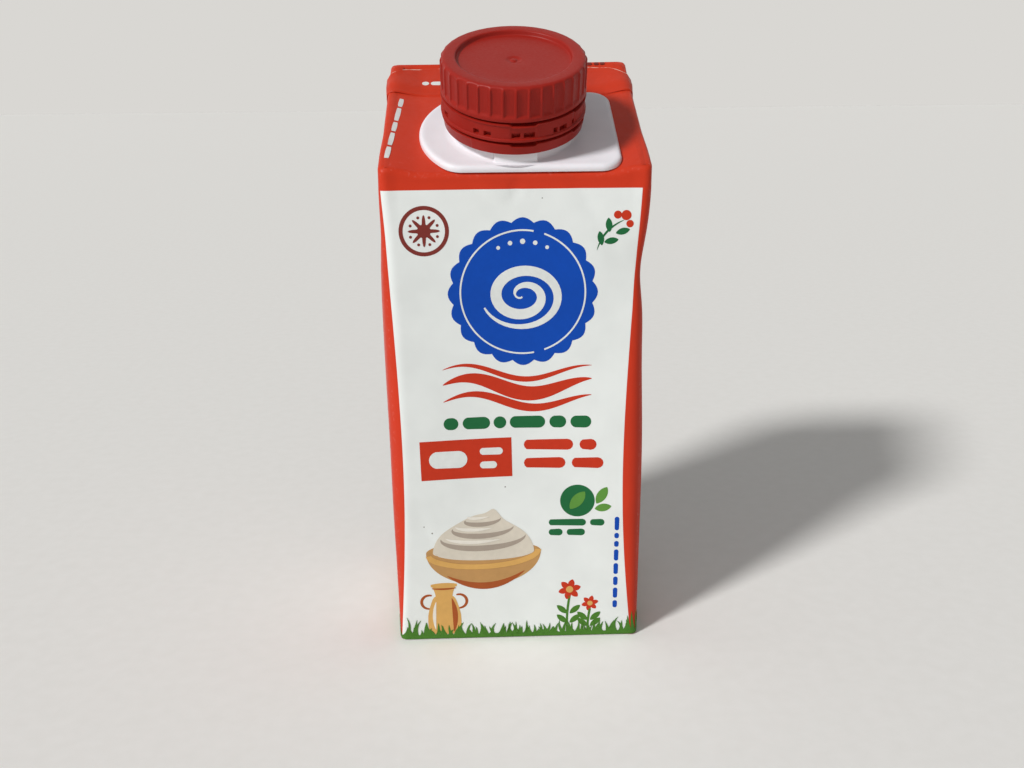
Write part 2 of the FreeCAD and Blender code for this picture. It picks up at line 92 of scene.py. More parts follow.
class CartonSizes(bpy.types.PropertyGroup):
    """Sizes of the board and its folds."""
    width: length("Width", 50, "Across the front, fold to fold")
    depth: length("Depth", 38, "Front to back, fold to fold")
    front_height: length("Front height", 98, "Base to the front corners of the top")
    rise: length("Rise", 18, "How much higher the back edge is than the front edge")
    fold_radius: length("Fold radius", 1.1, "Rounding of the upright folds at their ends")
    soft_radius: length("Soft radius", 3.5, "Rounding of the upright folds at half height")
    swell_top: length("Swell top", 95, "Height at which the board is flat again")
    left_belly: length("Left belly", 1.95, "How far the left side swells out")
    right_belly: length("Right belly", 0.45, "How far the right side swells out")
    front_hollow: length("Front hollow", 1.35, "How far the front is drawn in")
    panel_sink: length("Panel sink", 1.25, "How far the top sinks between its side folds")
    rim_radius: length("Rim radius", 0.8, "Rounding of the folded edges round the top")
    board: length("Board", 0.45, "Thickness of the board laminate")
    fin_fold: length("Fin fold", 29.8, "Front edge to the fold of the seal fin, along the slope")
    fin_height: length("Fin height", 9.6, "Fold of the seal fin to its cut edge")


class ClosureSizes(bpy.types.PropertyGroup):
    """Sizes of the flange, the rings and the cap."""
    flange_radius: length("Flange radius", 18.1, "Round side of the flange")
    flange_reach: length("Flange reach", 20, "Spout axis to the flange's straight side")
    flange_front: length("Flange front", 13.7, "Spout axis to the flange's front edge")
    flange_back: length("Flange back", 15.8, "Spout axis to the flange's back edge")
    flange_thick: length("Flange thickness", 1.3, "Thickness of the flange")
    collar_radius: length("Collar radius", 12.7, "White collar below the rings")
    collar_height: length("Collar height", 2.5, "Height of the collar above the flange")
    neck_radius: length("Neck radius", 11.6, "Threaded neck inside the rings")
    ring_radius: length("Ring radius", 13.5, "Outside of the lock ring and the strap")
    ring_height: length("Ring height", 1.9, "Height of the lock ring")
    slit: length("Slit", 0.3, "Slit between the lock ring, the strap and the cap")
    strap_height: length("Strap height", 3.6, "Height of the tether strap")
    cap_radius: length("Cap radius", 13.6, "Cap over its ribs")
    cap_height: length("Cap height", 6.5, "Cap from its lower lip to its rim")
    rib_depth: length("Rib depth", 0.34, "How deep the flutes are between the ribs")
    rib_count: bpy.props.IntProperty(name="Ribs", description="Ribs round the cap", default=36)


class PrintColours(bpy.types.PropertyGroup):
    """Colours of the board's print and of the plastics."""
    red: ink("Red", "#C6371E", "Board round the panels, and the red motifs")
    white: ink("White", "#E2E5E2", "Panels that carry the motifs")
    blue: ink("Blue", "#0C49AE", "Badge and dashes")
    maroon: ink("Maroon", "#7E342E", "Star roundel and the marks on the back edge")
    green: ink("Green", "#21683C", "Bars, rules, leaves and the leaf's roundel")
    leaf: ink("Leaf", "#5F933F", "Lighter leaves")
    grass: ink("Grass", "#4B7C2C", "Grass and flower stems")
    tan: ink("Tan", "#D9A860", "Churn, bowl's rim and daisy hearts")
    wood: ink("Wood", "#BF925C", "Bowl")
    brown: ink("Brown", "#A8552A", "Shade on the bowl and the churn")
    cream: ink("Cream", "#D8CFBF", "Cream in the bowl")
    shade: ink("Shade", "#A99C8E", "Hollows of the cream's swirl")
    light: ink("Light", "#EAE4D8", "Crests of the cream's swirl, and the churn's gleam")
    dirt: ink("Dirt", "#8C8882", "Specks of dust")
    cap: ink("Cap", "#991F15", "Cap and rings")
    plastic: ink("Plastic", "#EEEBEF", "Flange and collar")


def sizes():
    return bpy.context.scene.carton_sizes


def closure():
    return bpy.context.scene.closure_sizes


def colours():
    return bpy.context.scene.print_colours


# ---------------------------------------------------------------- the folded board as a surface

def smooth(value, low, high):
    """0 below low, 1 above high and a smooth ramp between."""
    share = min(max((value - low) / (high - low), 0.0), 1.0)
    return share * share * (3 - 2 * share)


def quarter_round():
    """Front centre to side centre, measured along the board."""
    board = sizes()
    return (board.width + board.depth) / 2 - (2 - QUARTER_TURN) * board.fold_radius


def swell(z):
    """How far the filled carton has swollen at a height: nothing at its folded ends."""
    share = min(max(z / sizes().swell_top, 0.0), 1.0)
    return max(math.sin(math.pi * share), 0.0) ** 0.7


# dents in mm: where round the blank and up it, spread along both, depth; a negative depth bulges out
DENTS = (
    (29, 78.5, 9, 6.5, 1.15),
    (20, 74, 7, 9, 0.25),
    (27, 63, 9, 15, 0.6),
    (-38, 40, 10, 16, 0.3),
    (-38, 80, 14, 14, -0.4),
)
# creases in mm: start and end on the blank, width, depth
CREASES = (
    ((-9, 95), (3, 84), 1.3, 0.22),
    ((0.6, 96), (-0.9, 91), 0.6, 0.3),
    ((10, 97), (20, 80), 1.6, 0.2),
    ((-21, 30), (-14, 14), 1.5, 0.15),
)


def dent(u, z, middle_u, middle_z, spread_u, spread_z, depth):
    """How far one soft dent pushes the board in at a place of the blank."""
    away = ((u - middle_u) / spread_u) ** 2 + ((z - middle_z) / spread_z) ** 2
    return depth * math.exp(-away)


def crease(u, z, start, end, width, depth):
    """How far one straight crease, which fades out at its ends, pushes the board in."""
    run = Vector((end[0] - start[0], end[1] - start[1]))
    point = Vector((u - start[0], z - start[1]))
    along = point.dot(run) / run.length_squared
    across = (point.x * run.y - point.y * run.x) / run.length
    if not -0.2 < along < 1.2:
        return 0.0
    fade = smooth(along, -0.2, 0.3) * (1 - smooth(along, 0.7, 1.2))
    return depth * fade * math.exp(-(across / width) ** 2)


def relief(u, z):
    """How far the board stands out from its folded box at a place of the blank."""
    board = sizes()
    around, quarter = abs(u), quarter_round()
    full = swell(z)
    belly = board.left_belly if u < 0 else board.right_belly
    side = max(1 - ((around - quarter) / (board.depth / 2)) ** 2, 0.0)
    front = max(1 - (u / (board.width / 2 - 1.5 * MM)) ** 2, 0.0)
    back = max(1 - ((2 * quarter - around) / (board.width / 2)) ** 2, 0.0)
    out = belly * full * side ** 1.3
    out -= board.front_hollow * swell(z * 0.95) * front ** 1.2
    out -= 0.05 * MM * full * back
    # the sides stand out a little beside the upper ends of the front's folds
    corner = quarter - board.depth / 2
    beside = smooth(around, corner - 3 * MM, corner)
    beside *= 1 - smooth(around, corner + 4 * MM, corner + 14 * MM)
    out += 0.32 * MM * beside * smooth(z, 84 * MM, 95 * MM)
    out -= MM * sum(dent(u / MM, z / MM, *values) for values in DENTS)
    out -= MM * sum(crease(u / MM, z / MM, *values) for values in CREASES)
    # the board is never quite flat: gentle waves of a few centimetres
    out += 0.05 * MM * math.sin(u / (6.1 * MM) + 1.3) * math.sin(z / (9.7 * MM)) * full
    return out


def wall(u, z, lift=0.0):
    """A point on the upright board: u round the blank from the front's middle, z up, lift outwards."""
    board = sizes()
    full = swell(z)
    corner = board.fold_radius + (board.soft_radius - board.fold_radius) * full
    half_x = board.width / 2 + 0.2 * MM * full
    # the girth stays the same, so softer corners make the carton deeper, most of it in front
    half_y = quarter_round() - half_x + (2 - QUARTER_TURN) * corner
    forward = -0.75 * (half_y - board.depth / 2)
    around = abs(u)
    front = half_x - corner
    bend = QUARTER_TURN * corner
    side = 2 * (half_y - corner)
    if around < front:
        x, y, out_x, out_y = around, -half_y, 0.0, -1.0
    elif around < front + bend:
        angle = (around - front) / corner
        out_x, out_y = math.sin(angle), -math.cos(angle)
        x, y = front + corner * out_x, corner - half_y + corner * out_y
    elif around < front + bend + side:
        x, y, out_x, out_y = half_x, around - front - bend + corner - half_y, 1.0, 0.0
    elif around < front + 2 * bend + side:
        angle = (around - front - bend - side) / corner
        out_x, out_y = math.cos(angle), math.sin(angle)
        x, y = front + corner * out_x, half_y - corner + corner * out_y
    else:
        x, y, out_x, out_y = 2 * front + 2 * bend + side - around, half_y, 0.0, 1.0
    push = relief(u, z) + lift
    hand = math.copysign(1.0, u)
    return Vector((hand * (x + out_x * push), y + out_y * push + forward, z))


def lean():
    """The angle at which the top slopes."""
    return math.atan2(sizes().rise, sizes().depth)


def top_relief(x, along):
    """How far the top panel stands above the plane of its side edges, which is mostly below it."""
    board = sizes()
    # the hollow is level in the middle, rises to the side folds and is deeper along the front edge
    across = 1 - smooth(abs(x), 17.5 * MM, 24.6 * MM)
    front = 1 + 0.3 * (1 - smooth(along, 0, 6 * MM)) * (1 - (x / (board.width / 2)) ** 2)
    sink = -board.panel_sink * across * (1 - back_rise(x, along)) * front
    return sink + back_ridge(x, along)


def back_rise(x, along):
    """0 on the top panel, up to 1 at its back edge, more gently towards the corners."""
    slope = sizes().depth / math.cos(lean())
    ramp = 2.6 * MM + 5 * MM * smooth(abs(x), 20 * MM, 24 * MM)
    return smooth(along, slope - ramp, slope - 0.3 * MM)


def back_ridge(x, along):
    """The back panel's folded edge, which stands up behind the fin."""
    return (0.64 * MM + 0.006 * x) * back_rise(x, along)


def slope_point(x, along, lift=0.0):
    """A point on the top panel: x across, along up the slope from its front edge, lift off it."""
    board = sizes()
    tilt = lean()
    up = top_relief(x, along) + lift
    return Vector((
        x,
        -board.depth / 2 + along * math.cos(tilt) - up * math.sin(tilt),
        board.front_height + along * math.sin(tilt) + up * math.cos(tilt),
    ))


def fold_over(past, radius):
    """Take a board over an edge: past is the way beyond it. Gives inset, drop and turned angle."""
    reach = radius * QUARTER_TURN / 2
    if past < -reach:
        fade = max(1 - (-past - reach) / (12 * radius), 0.0)
        return -past + (radius - reach) * fade, 0.0, 0.0
    if past > reach:
        fade = max(1 - (past - reach) / (12 * radius), 0.0)
        return 0.0, past + (radius - reach) * fade, QUARTER_TURN
    angle = (past + reach) / radius
    return radius * (1 - math.sin(angle)), radius * (1 - math.cos(angle)), angle


def rim_height(u):
    """Height of the folded top edge above a place round the blank."""
    board = sizes()
    edge = wall(u, board.front_height)
    along = (edge.y + board.depth / 2) / math.cos(lean())
    return slope_point(edge.x, along).z


def drape(across, along, lift):
    """A point on what lies over the top and down the sides, such as the fin and the ears."""
    board = sizes()
    tilt = lean()
    inset, drop, angle = fold_over(abs(across) - board.width / 2, 1.2 * MM)
    hand = math.copysign(1.0, across)
    x = board.width / 2 - inset
    up = lift * math.cos(angle) - drop
    up += top_relief(x, along) if drop == 0 else back_ridge(x, along) * math.cos(angle)
    return Vector((
        hand * (x + lift * math.sin(angle)),
        -board.depth / 2 + along * math.cos(tilt) - up * math.sin(tilt),
        board.front_height + along * math.sin(tilt) + up * math.cos(tilt),
    ))


# ---------------------------------------------------------------- modelling helpers

def begin(name, primitive, **settings):
    """Deselect everything and add one primitive as the active piece."""
    bpy.ops.object.select_all(action="DESELECT")
    primitive(**settings)
    piece = bpy.context.object
    piece.name = piece.data.name = name
    return piece


def pick(piece, kind, wanted):
    """In edit mode, select only the verts, edges or faces that pass a test."""
    bpy.ops.mesh.select_mode(type=kind)
    bpy.ops.mesh.select_all(action="DESELECT")
    mesh = bmesh.from_edit_mesh(piece.data)
    items = {"VERT": mesh.verts, "EDGE": mesh.edges, "FACE": mesh.faces}[kind]
    for item in items:
        if wanted(item):
            item.select_set(True)
    mesh.select_flush_mode()
    bmesh.update_edit_mesh(piece.data)


def on_circle(centre, radius, degrees):
    """A flat point on a circle, such as a corner of an outline or a dot in a ring of dots."""
    angle = math.radians(degrees)
    return Vector(centre) + radius * Vector((math.cos(angle), math.sin(angle)))


def runs_along(edge, axis):
    """Whether an edge runs along x, y or z, which are axes 0, 1 and 2."""
    step = edge.verts[1].co - edge.verts[0].co
    return abs(step[axis]) > 0.9 * step.length


def reshape(piece, place):
    """Move every vertex of a piece to where a function puts it."""
    for vertex in piece.data.vertices:
        vertex.co = place(vertex.co)
    piece.data.update()


def modify(piece, kind, **settings):
    """Add one modifier and apply it."""
    bpy.context.view_layer.objects.active = piece
    modifier = piece.modifiers.new(kind.title(), kind)
    for name, value in settings.items():
        setattr(modifier, name, value)
    bpy.ops.object.modifier_apply(modifier=modifier.name)


def close_up(piece):
    """Merge a piece's doubles and turn every face outwards."""
    bpy.context.view_layer.objects.active = piece
    bpy.ops.object.mode_set(mode="EDIT")
    bpy.ops.mesh.select_all(action="SELECT")
    bpy.ops.mesh.remove_doubles(threshold=0.0005 * MM)
    bpy.ops.mesh.normals_make_consistent(inside=False)
    bpy.ops.object.mode_set(mode="OBJECT")


def done(piece, material, node, angle=35):
    """Smooth and colour a finished piece, and hand it to the frame."""
    bpy.ops.object.select_all(action="DESELECT")
    piece.select_set(True)
    bpy.context.view_layer.objects.active = piece
    bpy.ops.object.transform_apply(location=True, rotation=True, scale=True)
    bpy.ops.object.shade_smooth_by_angle(angle=math.radians(angle))
    piece.data.materials.append(material)
    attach(piece, "root")
    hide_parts(node)
    return piece


# ---------------------------------------------------------------- materials

def add(tree, kind, inputs=None, **settings):
    """Add one node: settings are its own, inputs give each socket a value or another node's socket."""
    item = tree.nodes.new(kind)
    for name, value in settings.items():
        setattr(item, name, value)
    for socket, value in (inputs or {}).items():
        if isinstance(value, bpy.types.NodeSocket):
            tree.links.new(value, item.inputs[socket])
        else:
            item.inputs[socket].default_value = value
    return item


def new_material(name):
    """The material of that name with an empty node tree."""
    material = bpy.data.materials.get(name) or bpy.data.materials.new(name)
    material.use_nodes = True
    material.node_tree.nodes.clear()
    return material, material.node_tree


def shade(tree, colour, roughness, bump, **constants):
    """The shader at the end of every finish; constants are set on its own sockets."""
    inputs = {"Base Color": colour, "Roughness": roughness}
    if bump is not None:
        inputs["Normal"] = bump
    shader = add(tree, "ShaderNodeBsdfPrincipled", inputs)
    for socket, value in constants.items():
        shader.inputs[socket.replace("_", " ")].default_value = value
    add(tree, "ShaderNodeOutputMaterial", {"Surface": shader.outputs["BSDF"]})


def board_finish(tree, colour):
    """Liquid board: fibre under a thin film pressed on hot, so a satin gloss over soft fibre relief."""
    place = add(tree, "ShaderNodeTexCoord").outputs["Object"]
    # fibre clumps of about 1.2 mm, the finest that shows
    fibre = add(tree, "ShaderNodeTexNoise", {"Vector": place, "Scale": 830.0, "Detail": 4.0})
    # the film's slow orange-peel, about 7 mm from crest to crest
    film = add(tree, "ShaderNodeTexNoise", {"Vector": place, "Scale": 140.0, "Detail": 2.0})
    tone = add(tree, "ShaderNodeMapRange", {
        "Value": film.outputs["Fac"], "From Min": 0.3, "From Max": 0.7, "To Min": 0.965, "To Max": 1.025,
    })
    inked = add(tree, "ShaderNodeVectorMath", {
        0: colour, "Scale": tone.outputs["Result"],
    }, operation="SCALE")
    gloss = add(tree, "ShaderNodeMapRange", {
        "Value": fibre.outputs["Fac"], "From Min": 0.3, "From Max": 0.7, "To Min": 0.38, "To Max": 0.5,
    })
    heights = add(tree, "ShaderNodeMath", {
        0: film.outputs["Fac"], 1: 3.0, 2: fibre.outputs["Fac"],
    }, operation="MULTIPLY_ADD")
    bump = add(tree, "ShaderNodeBump", {
        "Height": heights.outputs["Value"], "Strength": 0.22, "Distance": 0.06 * MM,
    })
    shade(
        tree, inked.outputs["Vector"], gloss.outputs["Result"], bump.outputs["Normal"],
        IOR=1.45, Specular_IOR_Level=0.15, Coat_Weight=0.02, Coat_Roughness=0.3,
    )


def printed_ink(name, colour):
    """One printed colour under the board's film, a little mottled as ink on fibre is."""
    material, tree = new_material(name)
    place = add(tree, "ShaderNodeTexCoord").outputs["Object"]
    # blotches of about 1.1 mm, where the fibre took up more ink
    mottle = add(tree, "ShaderNodeTexNoise", {"Vector": place, "Scale": 900.0, "Detail": 3.0})
    deep = tuple(0.86 * channel for channel in colour[:3]) + (1.0,)
    mixed = add(tree, "ShaderNodeMix", {
        "Factor": mottle.outputs["Fac"], "A": deep, "B": tuple(colour),
    }, data_type="RGBA")
    board_finish(tree, mixed.outputs["Result"])
    return material


def board_ink(name):
    """The board's ink of that name, in its colour from the settings."""
    return printed_ink(f"{name}_ink_on_board", getattr(colours(), name))


def printed_board():
    """The blank's colour fields, read from its own map: a red carton with white panels."""
    # the panels' limits in mm, round the blank and up it
    front_left, front_right, front_top = -24.9, 23.6, 93.9
    left_waist, right_waist, waist_height, waist_skew = -1.95, 2.5, 96.0, 0.16
    side_near, side_far, side_low, side_high = 34.0, 58.0, 6.0, 84.0
    back_near, back_low, back_high = 65.5, 4.0, 104.0
    rubbed_film = linear("#F0C8BC")
    material, tree = new_material("printed_liquid_board")
    tone = colours()
    blank = add(tree, "ShaderNodeUVMap", uv_map="blank")
    millimetres = add(tree, "ShaderNodeVectorMath", {
        0: blank.outputs["UV"], 1: (BLANK_SCALE, BLANK_SCALE, 1.0),
    }, operation="MULTIPLY")
    place = add(tree, "ShaderNodeSeparateXYZ", {"Vector": millimetres.outputs["Vector"]})
    u, v = place.outputs["X"], place.outputs["Y"]

    def step(value, edge, sign):
        """1 where value is past the edge, with an ink edge of a tenth of a millimetre."""
        return add(tree, "ShaderNodeMapRange", {
            "Value": value, "From Min": edge - 0.05 * sign, "From Max": edge + 0.05 * sign,
        }).outputs["Result"]

    def both(first, second):
        return add(tree, "ShaderNodeMath", {0: first, 1: second}, operation="MULTIPLY").outputs["Value"]

    # the front panel's upright edges are drawn in towards its middle
    height = add(tree, "ShaderNodeMath", {
        0: v, 1: math.pi / waist_height,
    }, operation="MULTIPLY").outputs["Value"]
    twice = add(tree, "ShaderNodeMath", {0: height, 1: 2.0}, operation="MULTIPLY").outputs["Value"]
    wave = add(tree, "ShaderNodeMath", {0: height}, operation="SINE").outputs["Value"]
    uneven = add(tree, "ShaderNodeMath", {0: twice}, operation="SINE").outputs["Value"]
    waist = add(tree, "ShaderNodeMath", {0: uneven, 1: waist_skew, 2: wave}, operation="MULTIPLY_ADD")
    left = add(tree, "ShaderNodeMath", {
        0: waist.outputs["Value"], 1: left_waist, 2: u,
    }, operation="MULTIPLY_ADD")
    right = add(tree, "ShaderNodeMath", {
        0: waist.outputs["Value"], 1: right_waist, 2: u,
    }, operation="MULTIPLY_ADD")
    front = step(left.outputs["Value"], front_left, 1)
    front = both(front, step(right.outputs["Value"], front_right, -1))
    front = both(front, step(v, front_top, -1))
    # plain white panels on the sides and the back, well inside their folds
    distance = add(tree, "ShaderNodeMath", {0: u}, operation="ABSOLUTE").outputs["Value"]
    side = both(step(distance, side_near, 1), step(distance, side_far, -1))
    side = both(side, both(step(v, side_low, 1), step(v, side_high, -1)))
    back = both(step(distance, back_near, 1), both(step(v, back_low, 1), step(v, back_high, -1)))
    panels = add(tree, "ShaderNodeMath", {0: side, 1: back}, operation="ADD", use_clamp=True)
    white = add(tree, "ShaderNodeMath", {
        0: front, 1: panels.outputs["Value"],
    }, operation="ADD", use_clamp=True)
    colour = add(tree, "ShaderNodeMix", {
        "Factor": white.outputs["Value"], "A": tuple(tone.red), "B": tuple(tone.white),
    }, data_type="RGBA")
    # the film is rubbed pale along the folds, in scuffs of about 0.7 mm
    worn = add(tree, "ShaderNodeAttribute", attribute_name="fold_wear")
    scuff = add(tree, "ShaderNodeTexNoise", {
        "Vector": add(tree, "ShaderNodeTexCoord").outputs["Object"], "Scale": 1500.0, "Detail": 5.0,
    })
    rubbed = add(tree, "ShaderNodeMapRange", {
        "Value": scuff.outputs["Fac"], "From Min": 0.55, "From Max": 0.85, "To Max": 0.14,
    })
    amount = add(tree, "ShaderNodeMath", {
        0: worn.outputs["Fac"], 1: rubbed.outputs["Result"],
    }, operation="MULTIPLY")
    scuffed = add(tree, "ShaderNodeMix", {
        "Factor": amount.outputs["Value"], "A": colour.outputs["Result"], "B": rubbed_film,
    }, data_type="RGBA")
    board_finish(tree, scuffed.outputs["Result"])
    return material


def moulded_plastic(name, colour, roughness, grain):
    """Injection-moulded polyethylene: dense, softly glossy, faintly uneven from the mould."""
    material, tree = new_material(name)
    place = add(tree, "ShaderNodeTexCoord").outputs["Object"]
    # flow marks of about 5 mm, and mould grain of about half a millimetre
    flow = add(tree, "ShaderNodeTexNoise", {"Vector": place, "Scale": 200.0, "Detail": 2.0})
    fine = add(tree, "ShaderNodeTexNoise", {"Vector": place, "Scale": 2000.0, "Detail": 3.0})
    deep = tuple(0.9 * channel for channel in colour[:3]) + (1.0,)
    mixed = add(tree, "ShaderNodeMix", {
        "Factor": flow.outputs["Fac"], "A": deep, "B": tuple(colour),
    }, data_type="RGBA")
    gloss = add(tree, "ShaderNodeMapRange", {
        "Value": fine.outputs["Fac"], "From Min": 0.3, "From Max": 0.7,
        "To Min": roughness - 0.05, "To Max": roughness + 0.07,
    })
    bump = add(tree, "ShaderNodeBump", {
        "Height": fine.outputs["Fac"], "Strength": grain, "Distance": 0.03 * MM,
    })
    shade(
        tree, mixed.outputs["Result"], gloss.outputs["Result"], bump.outputs["Normal"],
        IOR=1.5, Specular_IOR_Level=0.17, Subsurface_Weight=0.06,
        Subsurface_Radius=(1.0, 0.6, 0.5), Subsurface_Scale=0.6 * MM,
    )
    return material


def cut_board(name, kept):
    """The board's cut edge: bare pressed fibre, pale and matt. The more is kept, the more is still red."""
    dark_fibre, pale_fibre = linear("#D99A80"), linear("#F0DED2")
    material, tree = new_material(name)
    place = add(tree, "ShaderNodeTexCoord").outputs["Object"]
    # torn fibre ends of about 0.7 mm
    fibre = add(tree, "ShaderNodeTexNoise", {"Vector": place, "Scale": 1400.0, "Detail": 5.0})
    # the printed film still hides the fibre in patches of about 3 mm
    patches = add(tree, "ShaderNodeTexNoise", {"Vector": place, "Scale": 330.0, "Detail": 3.0})
    bare = add(tree, "ShaderNodeMapRange", {
        "Value": patches.outputs["Fac"], "From Min": kept - 0.06, "From Max": kept + 0.06,
    })
    pale = add(tree, "ShaderNodeMix", {
        "Factor": fibre.outputs["Fac"], "A": dark_fibre, "B": pale_fibre,
    }, data_type="RGBA")
    colour = add(tree, "ShaderNodeMix", {
        "Factor": bare.outputs["Result"], "A": tuple(colours().red), "B": pale.outputs["Result"],
    }, data_type="RGBA")
    bump = add(tree, "ShaderNodeBump", {
        "Height": fibre.outputs["Fac"], "Strength": 0.5, "Distance": 0.08 * MM,
    })
    shade(tree, colour.outputs["Result"], 0.75, bump.outputs["Normal"], IOR=1.45)
    return material


def pale_floor():
    """Painted chipboard: pale and matt, with a faint speckle from the roller."""
    dark_paint, pale_paint = linear("#EBE9E4"), linear("#F2F0EC")
    material, tree = new_material("pale_painted_board")
    place = add(tree, "ShaderNodeTexCoord").outputs["Object"]
    # speckles of about 3 mm
    speckle = add(tree, "ShaderNodeTexNoise", {"Vector": place, "Scale": 300.0, "Detail": 4.0})
    colour = add(tree, "ShaderNodeMix", {
        "Factor": speckle.outputs["Fac"], "A": dark_paint, "B": pale_paint,
    }, data_type="RGBA")
    bump = add(tree, "ShaderNodeBump", {
        "Height": speckle.outputs["Fac"], "Strength": 0.1, "Distance": 0.1 * MM,
    })
    shade(tree, colour.outputs["Result"], 0.6, bump.outputs["Normal"], IOR=1.45)
    return material


# ---------------------------------------------------------------- board pieces

def clustered(share, gather):
    """Spread -1..1 so that it is finer towards its ends, where the folds are."""
    return share * (1 - gather) + math.sin(share * QUARTER_TURN) * gather


def blank_u(x, y):
    """Place round the blank of a point on the straight box's outline, by its direction."""
    board = sizes()
    half_x, half_y, quarter = board.width / 2, board.depth / 2, quarter_round()
    front = half_x * quarter / (half_x + half_y)
    side = quarter - front
    hand = math.copysign(1.0, x)
    if y <= -half_y + 1e-9:
        return x / half_x * front
    if y >= half_y - 1e-9:
        return hand * (2 * quarter - abs(x) / half_x * front)
    return hand * (quarter + y / half_y * side)


def grid_outline(cube):
    """Where a vertex of the body's cube lies on the straight box, seen from above."""
    board = sizes()
    return clustered(cube.x, 0.72) * board.width / 2, clustered(cube.y, 0.72) * board.depth / 2


def build_body():
    """The filled board box: a cube cut into a grid and laid over the wall and top surfaces."""
    board = sizes()
    piece = grid_box("board_body", (64, 50, 100))
    half_x, half_y = board.width / 2, board.depth / 2
    foot_radius, base_hollow = 0.7 * MM, 0.6 * MM
    front_fold = half_x - 0.1 * MM
    back_fold = 2 * quarter_round() - front_fold
    wear = piece.data.attributes.new("fold_wear", "FLOAT", "POINT")
    straight = [vertex.co.copy() for vertex in piece.data.vertices]

    def lay(cube):
        """Place on the carton, place round the blank, and distance to the folded rim or foot."""
        x, y = grid_outline(cube)
        level = (clustered(cube.z, 0.7) + 1) / 2
        share = max(abs(x) / half_x, abs(y) / half_y)
        if abs(cube.z) < 1 - SLIGHT:
            u = blank_u(x, y)
            rim = rim_height(u)
            z = level * rim
            if level > 0.5:
                inset, drop, _ = fold_over(rim - z, board.rim_radius)
                return wall(u, rim - drop, -inset), u, rim - z
            inset, drop, _ = fold_over(z, foot_radius)
            return wall(u, drop, -inset), u, z
        # the top and the bottom: rings that shrink from the outline to the middle
        u = blank_u(x / share, y / share) if share > 0 else 0.0
        reach = half_x if abs(x) / half_x >= abs(y) / half_y else half_y
        past = -(1 - share) * reach
        if cube.z > 0:
            inset, drop, _ = fold_over(past, board.rim_radius)
            edge = wall(u, board.front_height)
            point = edge * (1 - inset / reach)
            along = (point.y + half_y) / math.cos(lean())
            surface = slope_point(point.x, along)
            return Vector((point.x, point.y, surface.z - drop)), u, -past
        inset, drop, _ = fold_over(past, foot_radius)
        edge = wall(u, 0.0)
        point = edge * (1 - inset / reach)
        hollow = base_hollow * smooth(-past, 2 * MM, 6 * MM)
        return Vector((point.x, point.y, drop + hollow)), u, -past

    for vertex, cube in zip(piece.data.vertices, straight):
        vertex.co, u, rim_distance = lay(cube)
        near = min(rim_distance, abs(abs(u) - front_fold), abs(abs(u) - back_fold))
        wear.data[vertex.index].value = 1 - smooth(near, 0.1 * MM, 0.6 * MM)
    map_blank(piece, straight)
    piece.data.update()
    return piece


def map_blank(piece, straight):
    """Write the blank's own map: round the board and up it, and on over the slanted top."""
    board = sizes()
    piece.data.uv_layers.new(name="blank")
    for other in list(piece.data.uv_layers):
        if other.name != "blank":
            piece.data.uv_layers.remove(other)
    layer = piece.data.uv_layers["blank"]
    unit = BLANK_SCALE * MM
    for face in piece.data.polygons:
        middle = sum((straight[index] for index in face.vertices), Vector()) / len(face.vertices)
        over_top = middle.z > 1 - SLIGHT
        in_front = middle.y < SLIGHT - 1
        for loop in face.loop_indices:
            index = piece.data.loops[loop].vertex_index
            point, cube = piece.data.vertices[index].co, straight[index]
            if over_top:
                along = (point.y + board.depth / 2) / math.cos(lean())
                place = (point.x, board.front_height + along)
            else:
                u = blank_u(*grid_outline(cube))
                if not in_front:
                    # a vertex on the back's middle belongs to both ends of the blank
                    u = math.copysign(u, middle.x)
                place = (u, point.z)
            layer.data[loop].uv = (place[0] / unit, place[1] / unit)


def grid_box(name, counts):
    """A cube primitive from -1 to 1, divided into a grid with its own count along each axis."""
    piece = begin(name, bpy.ops.mesh.primitive_cube_add, size=2)
    bpy.ops.object.mode_set(mode="EDIT")
    for axis, count in enumerate(counts):
        if count > 1:
            pick(piece, "EDGE", lambda edge: runs_along(edge, axis))
            bpy.ops.mesh.subdivide(number_cuts=count - 1)
    bpy.ops.object.mode_set(mode="OBJECT")
    return piece


def round_edge(distance, radius):
    """Share of a plate's thickness that is left near its rounded edge."""
    if distance >= radius:
        return 1.0
    return math.sqrt(max(1 - (1 - distance / radius) ** 2, 0.0))


def ear_lift(over, along):
    """How far an ear stands off the board it is pressed into, by the ways over and along the edge."""
    full = 0.45 * sizes().board
    return 0.02 * MM + full * smooth(over, -2.5 * MM, 2.5 * MM) * smooth(along, 0, 9 * MM)


def fin_width(across):
    """From the fin's fold to its free edge, which is trimmed in a curve towards the ends."""
    board = sizes()
    past = max(abs(across) - board.width / 2, 0.0)
    # the cut curves in over each end, a little more on the right
    trim = 1.1 * MM * smooth(abs(across), 17 * MM, 22 * MM)
    trim += 2.6 * MM * smooth(abs(across), 21 * MM, 26 * MM)
    if across > 0:
        trim *= 1.3
    room = (board.depth - 0.1 * MM - past * math.sin(lean())) / math.cos(lean()) - board.fin_fold
    return min(board.fin_height + 0.6 * MM - trim, room)


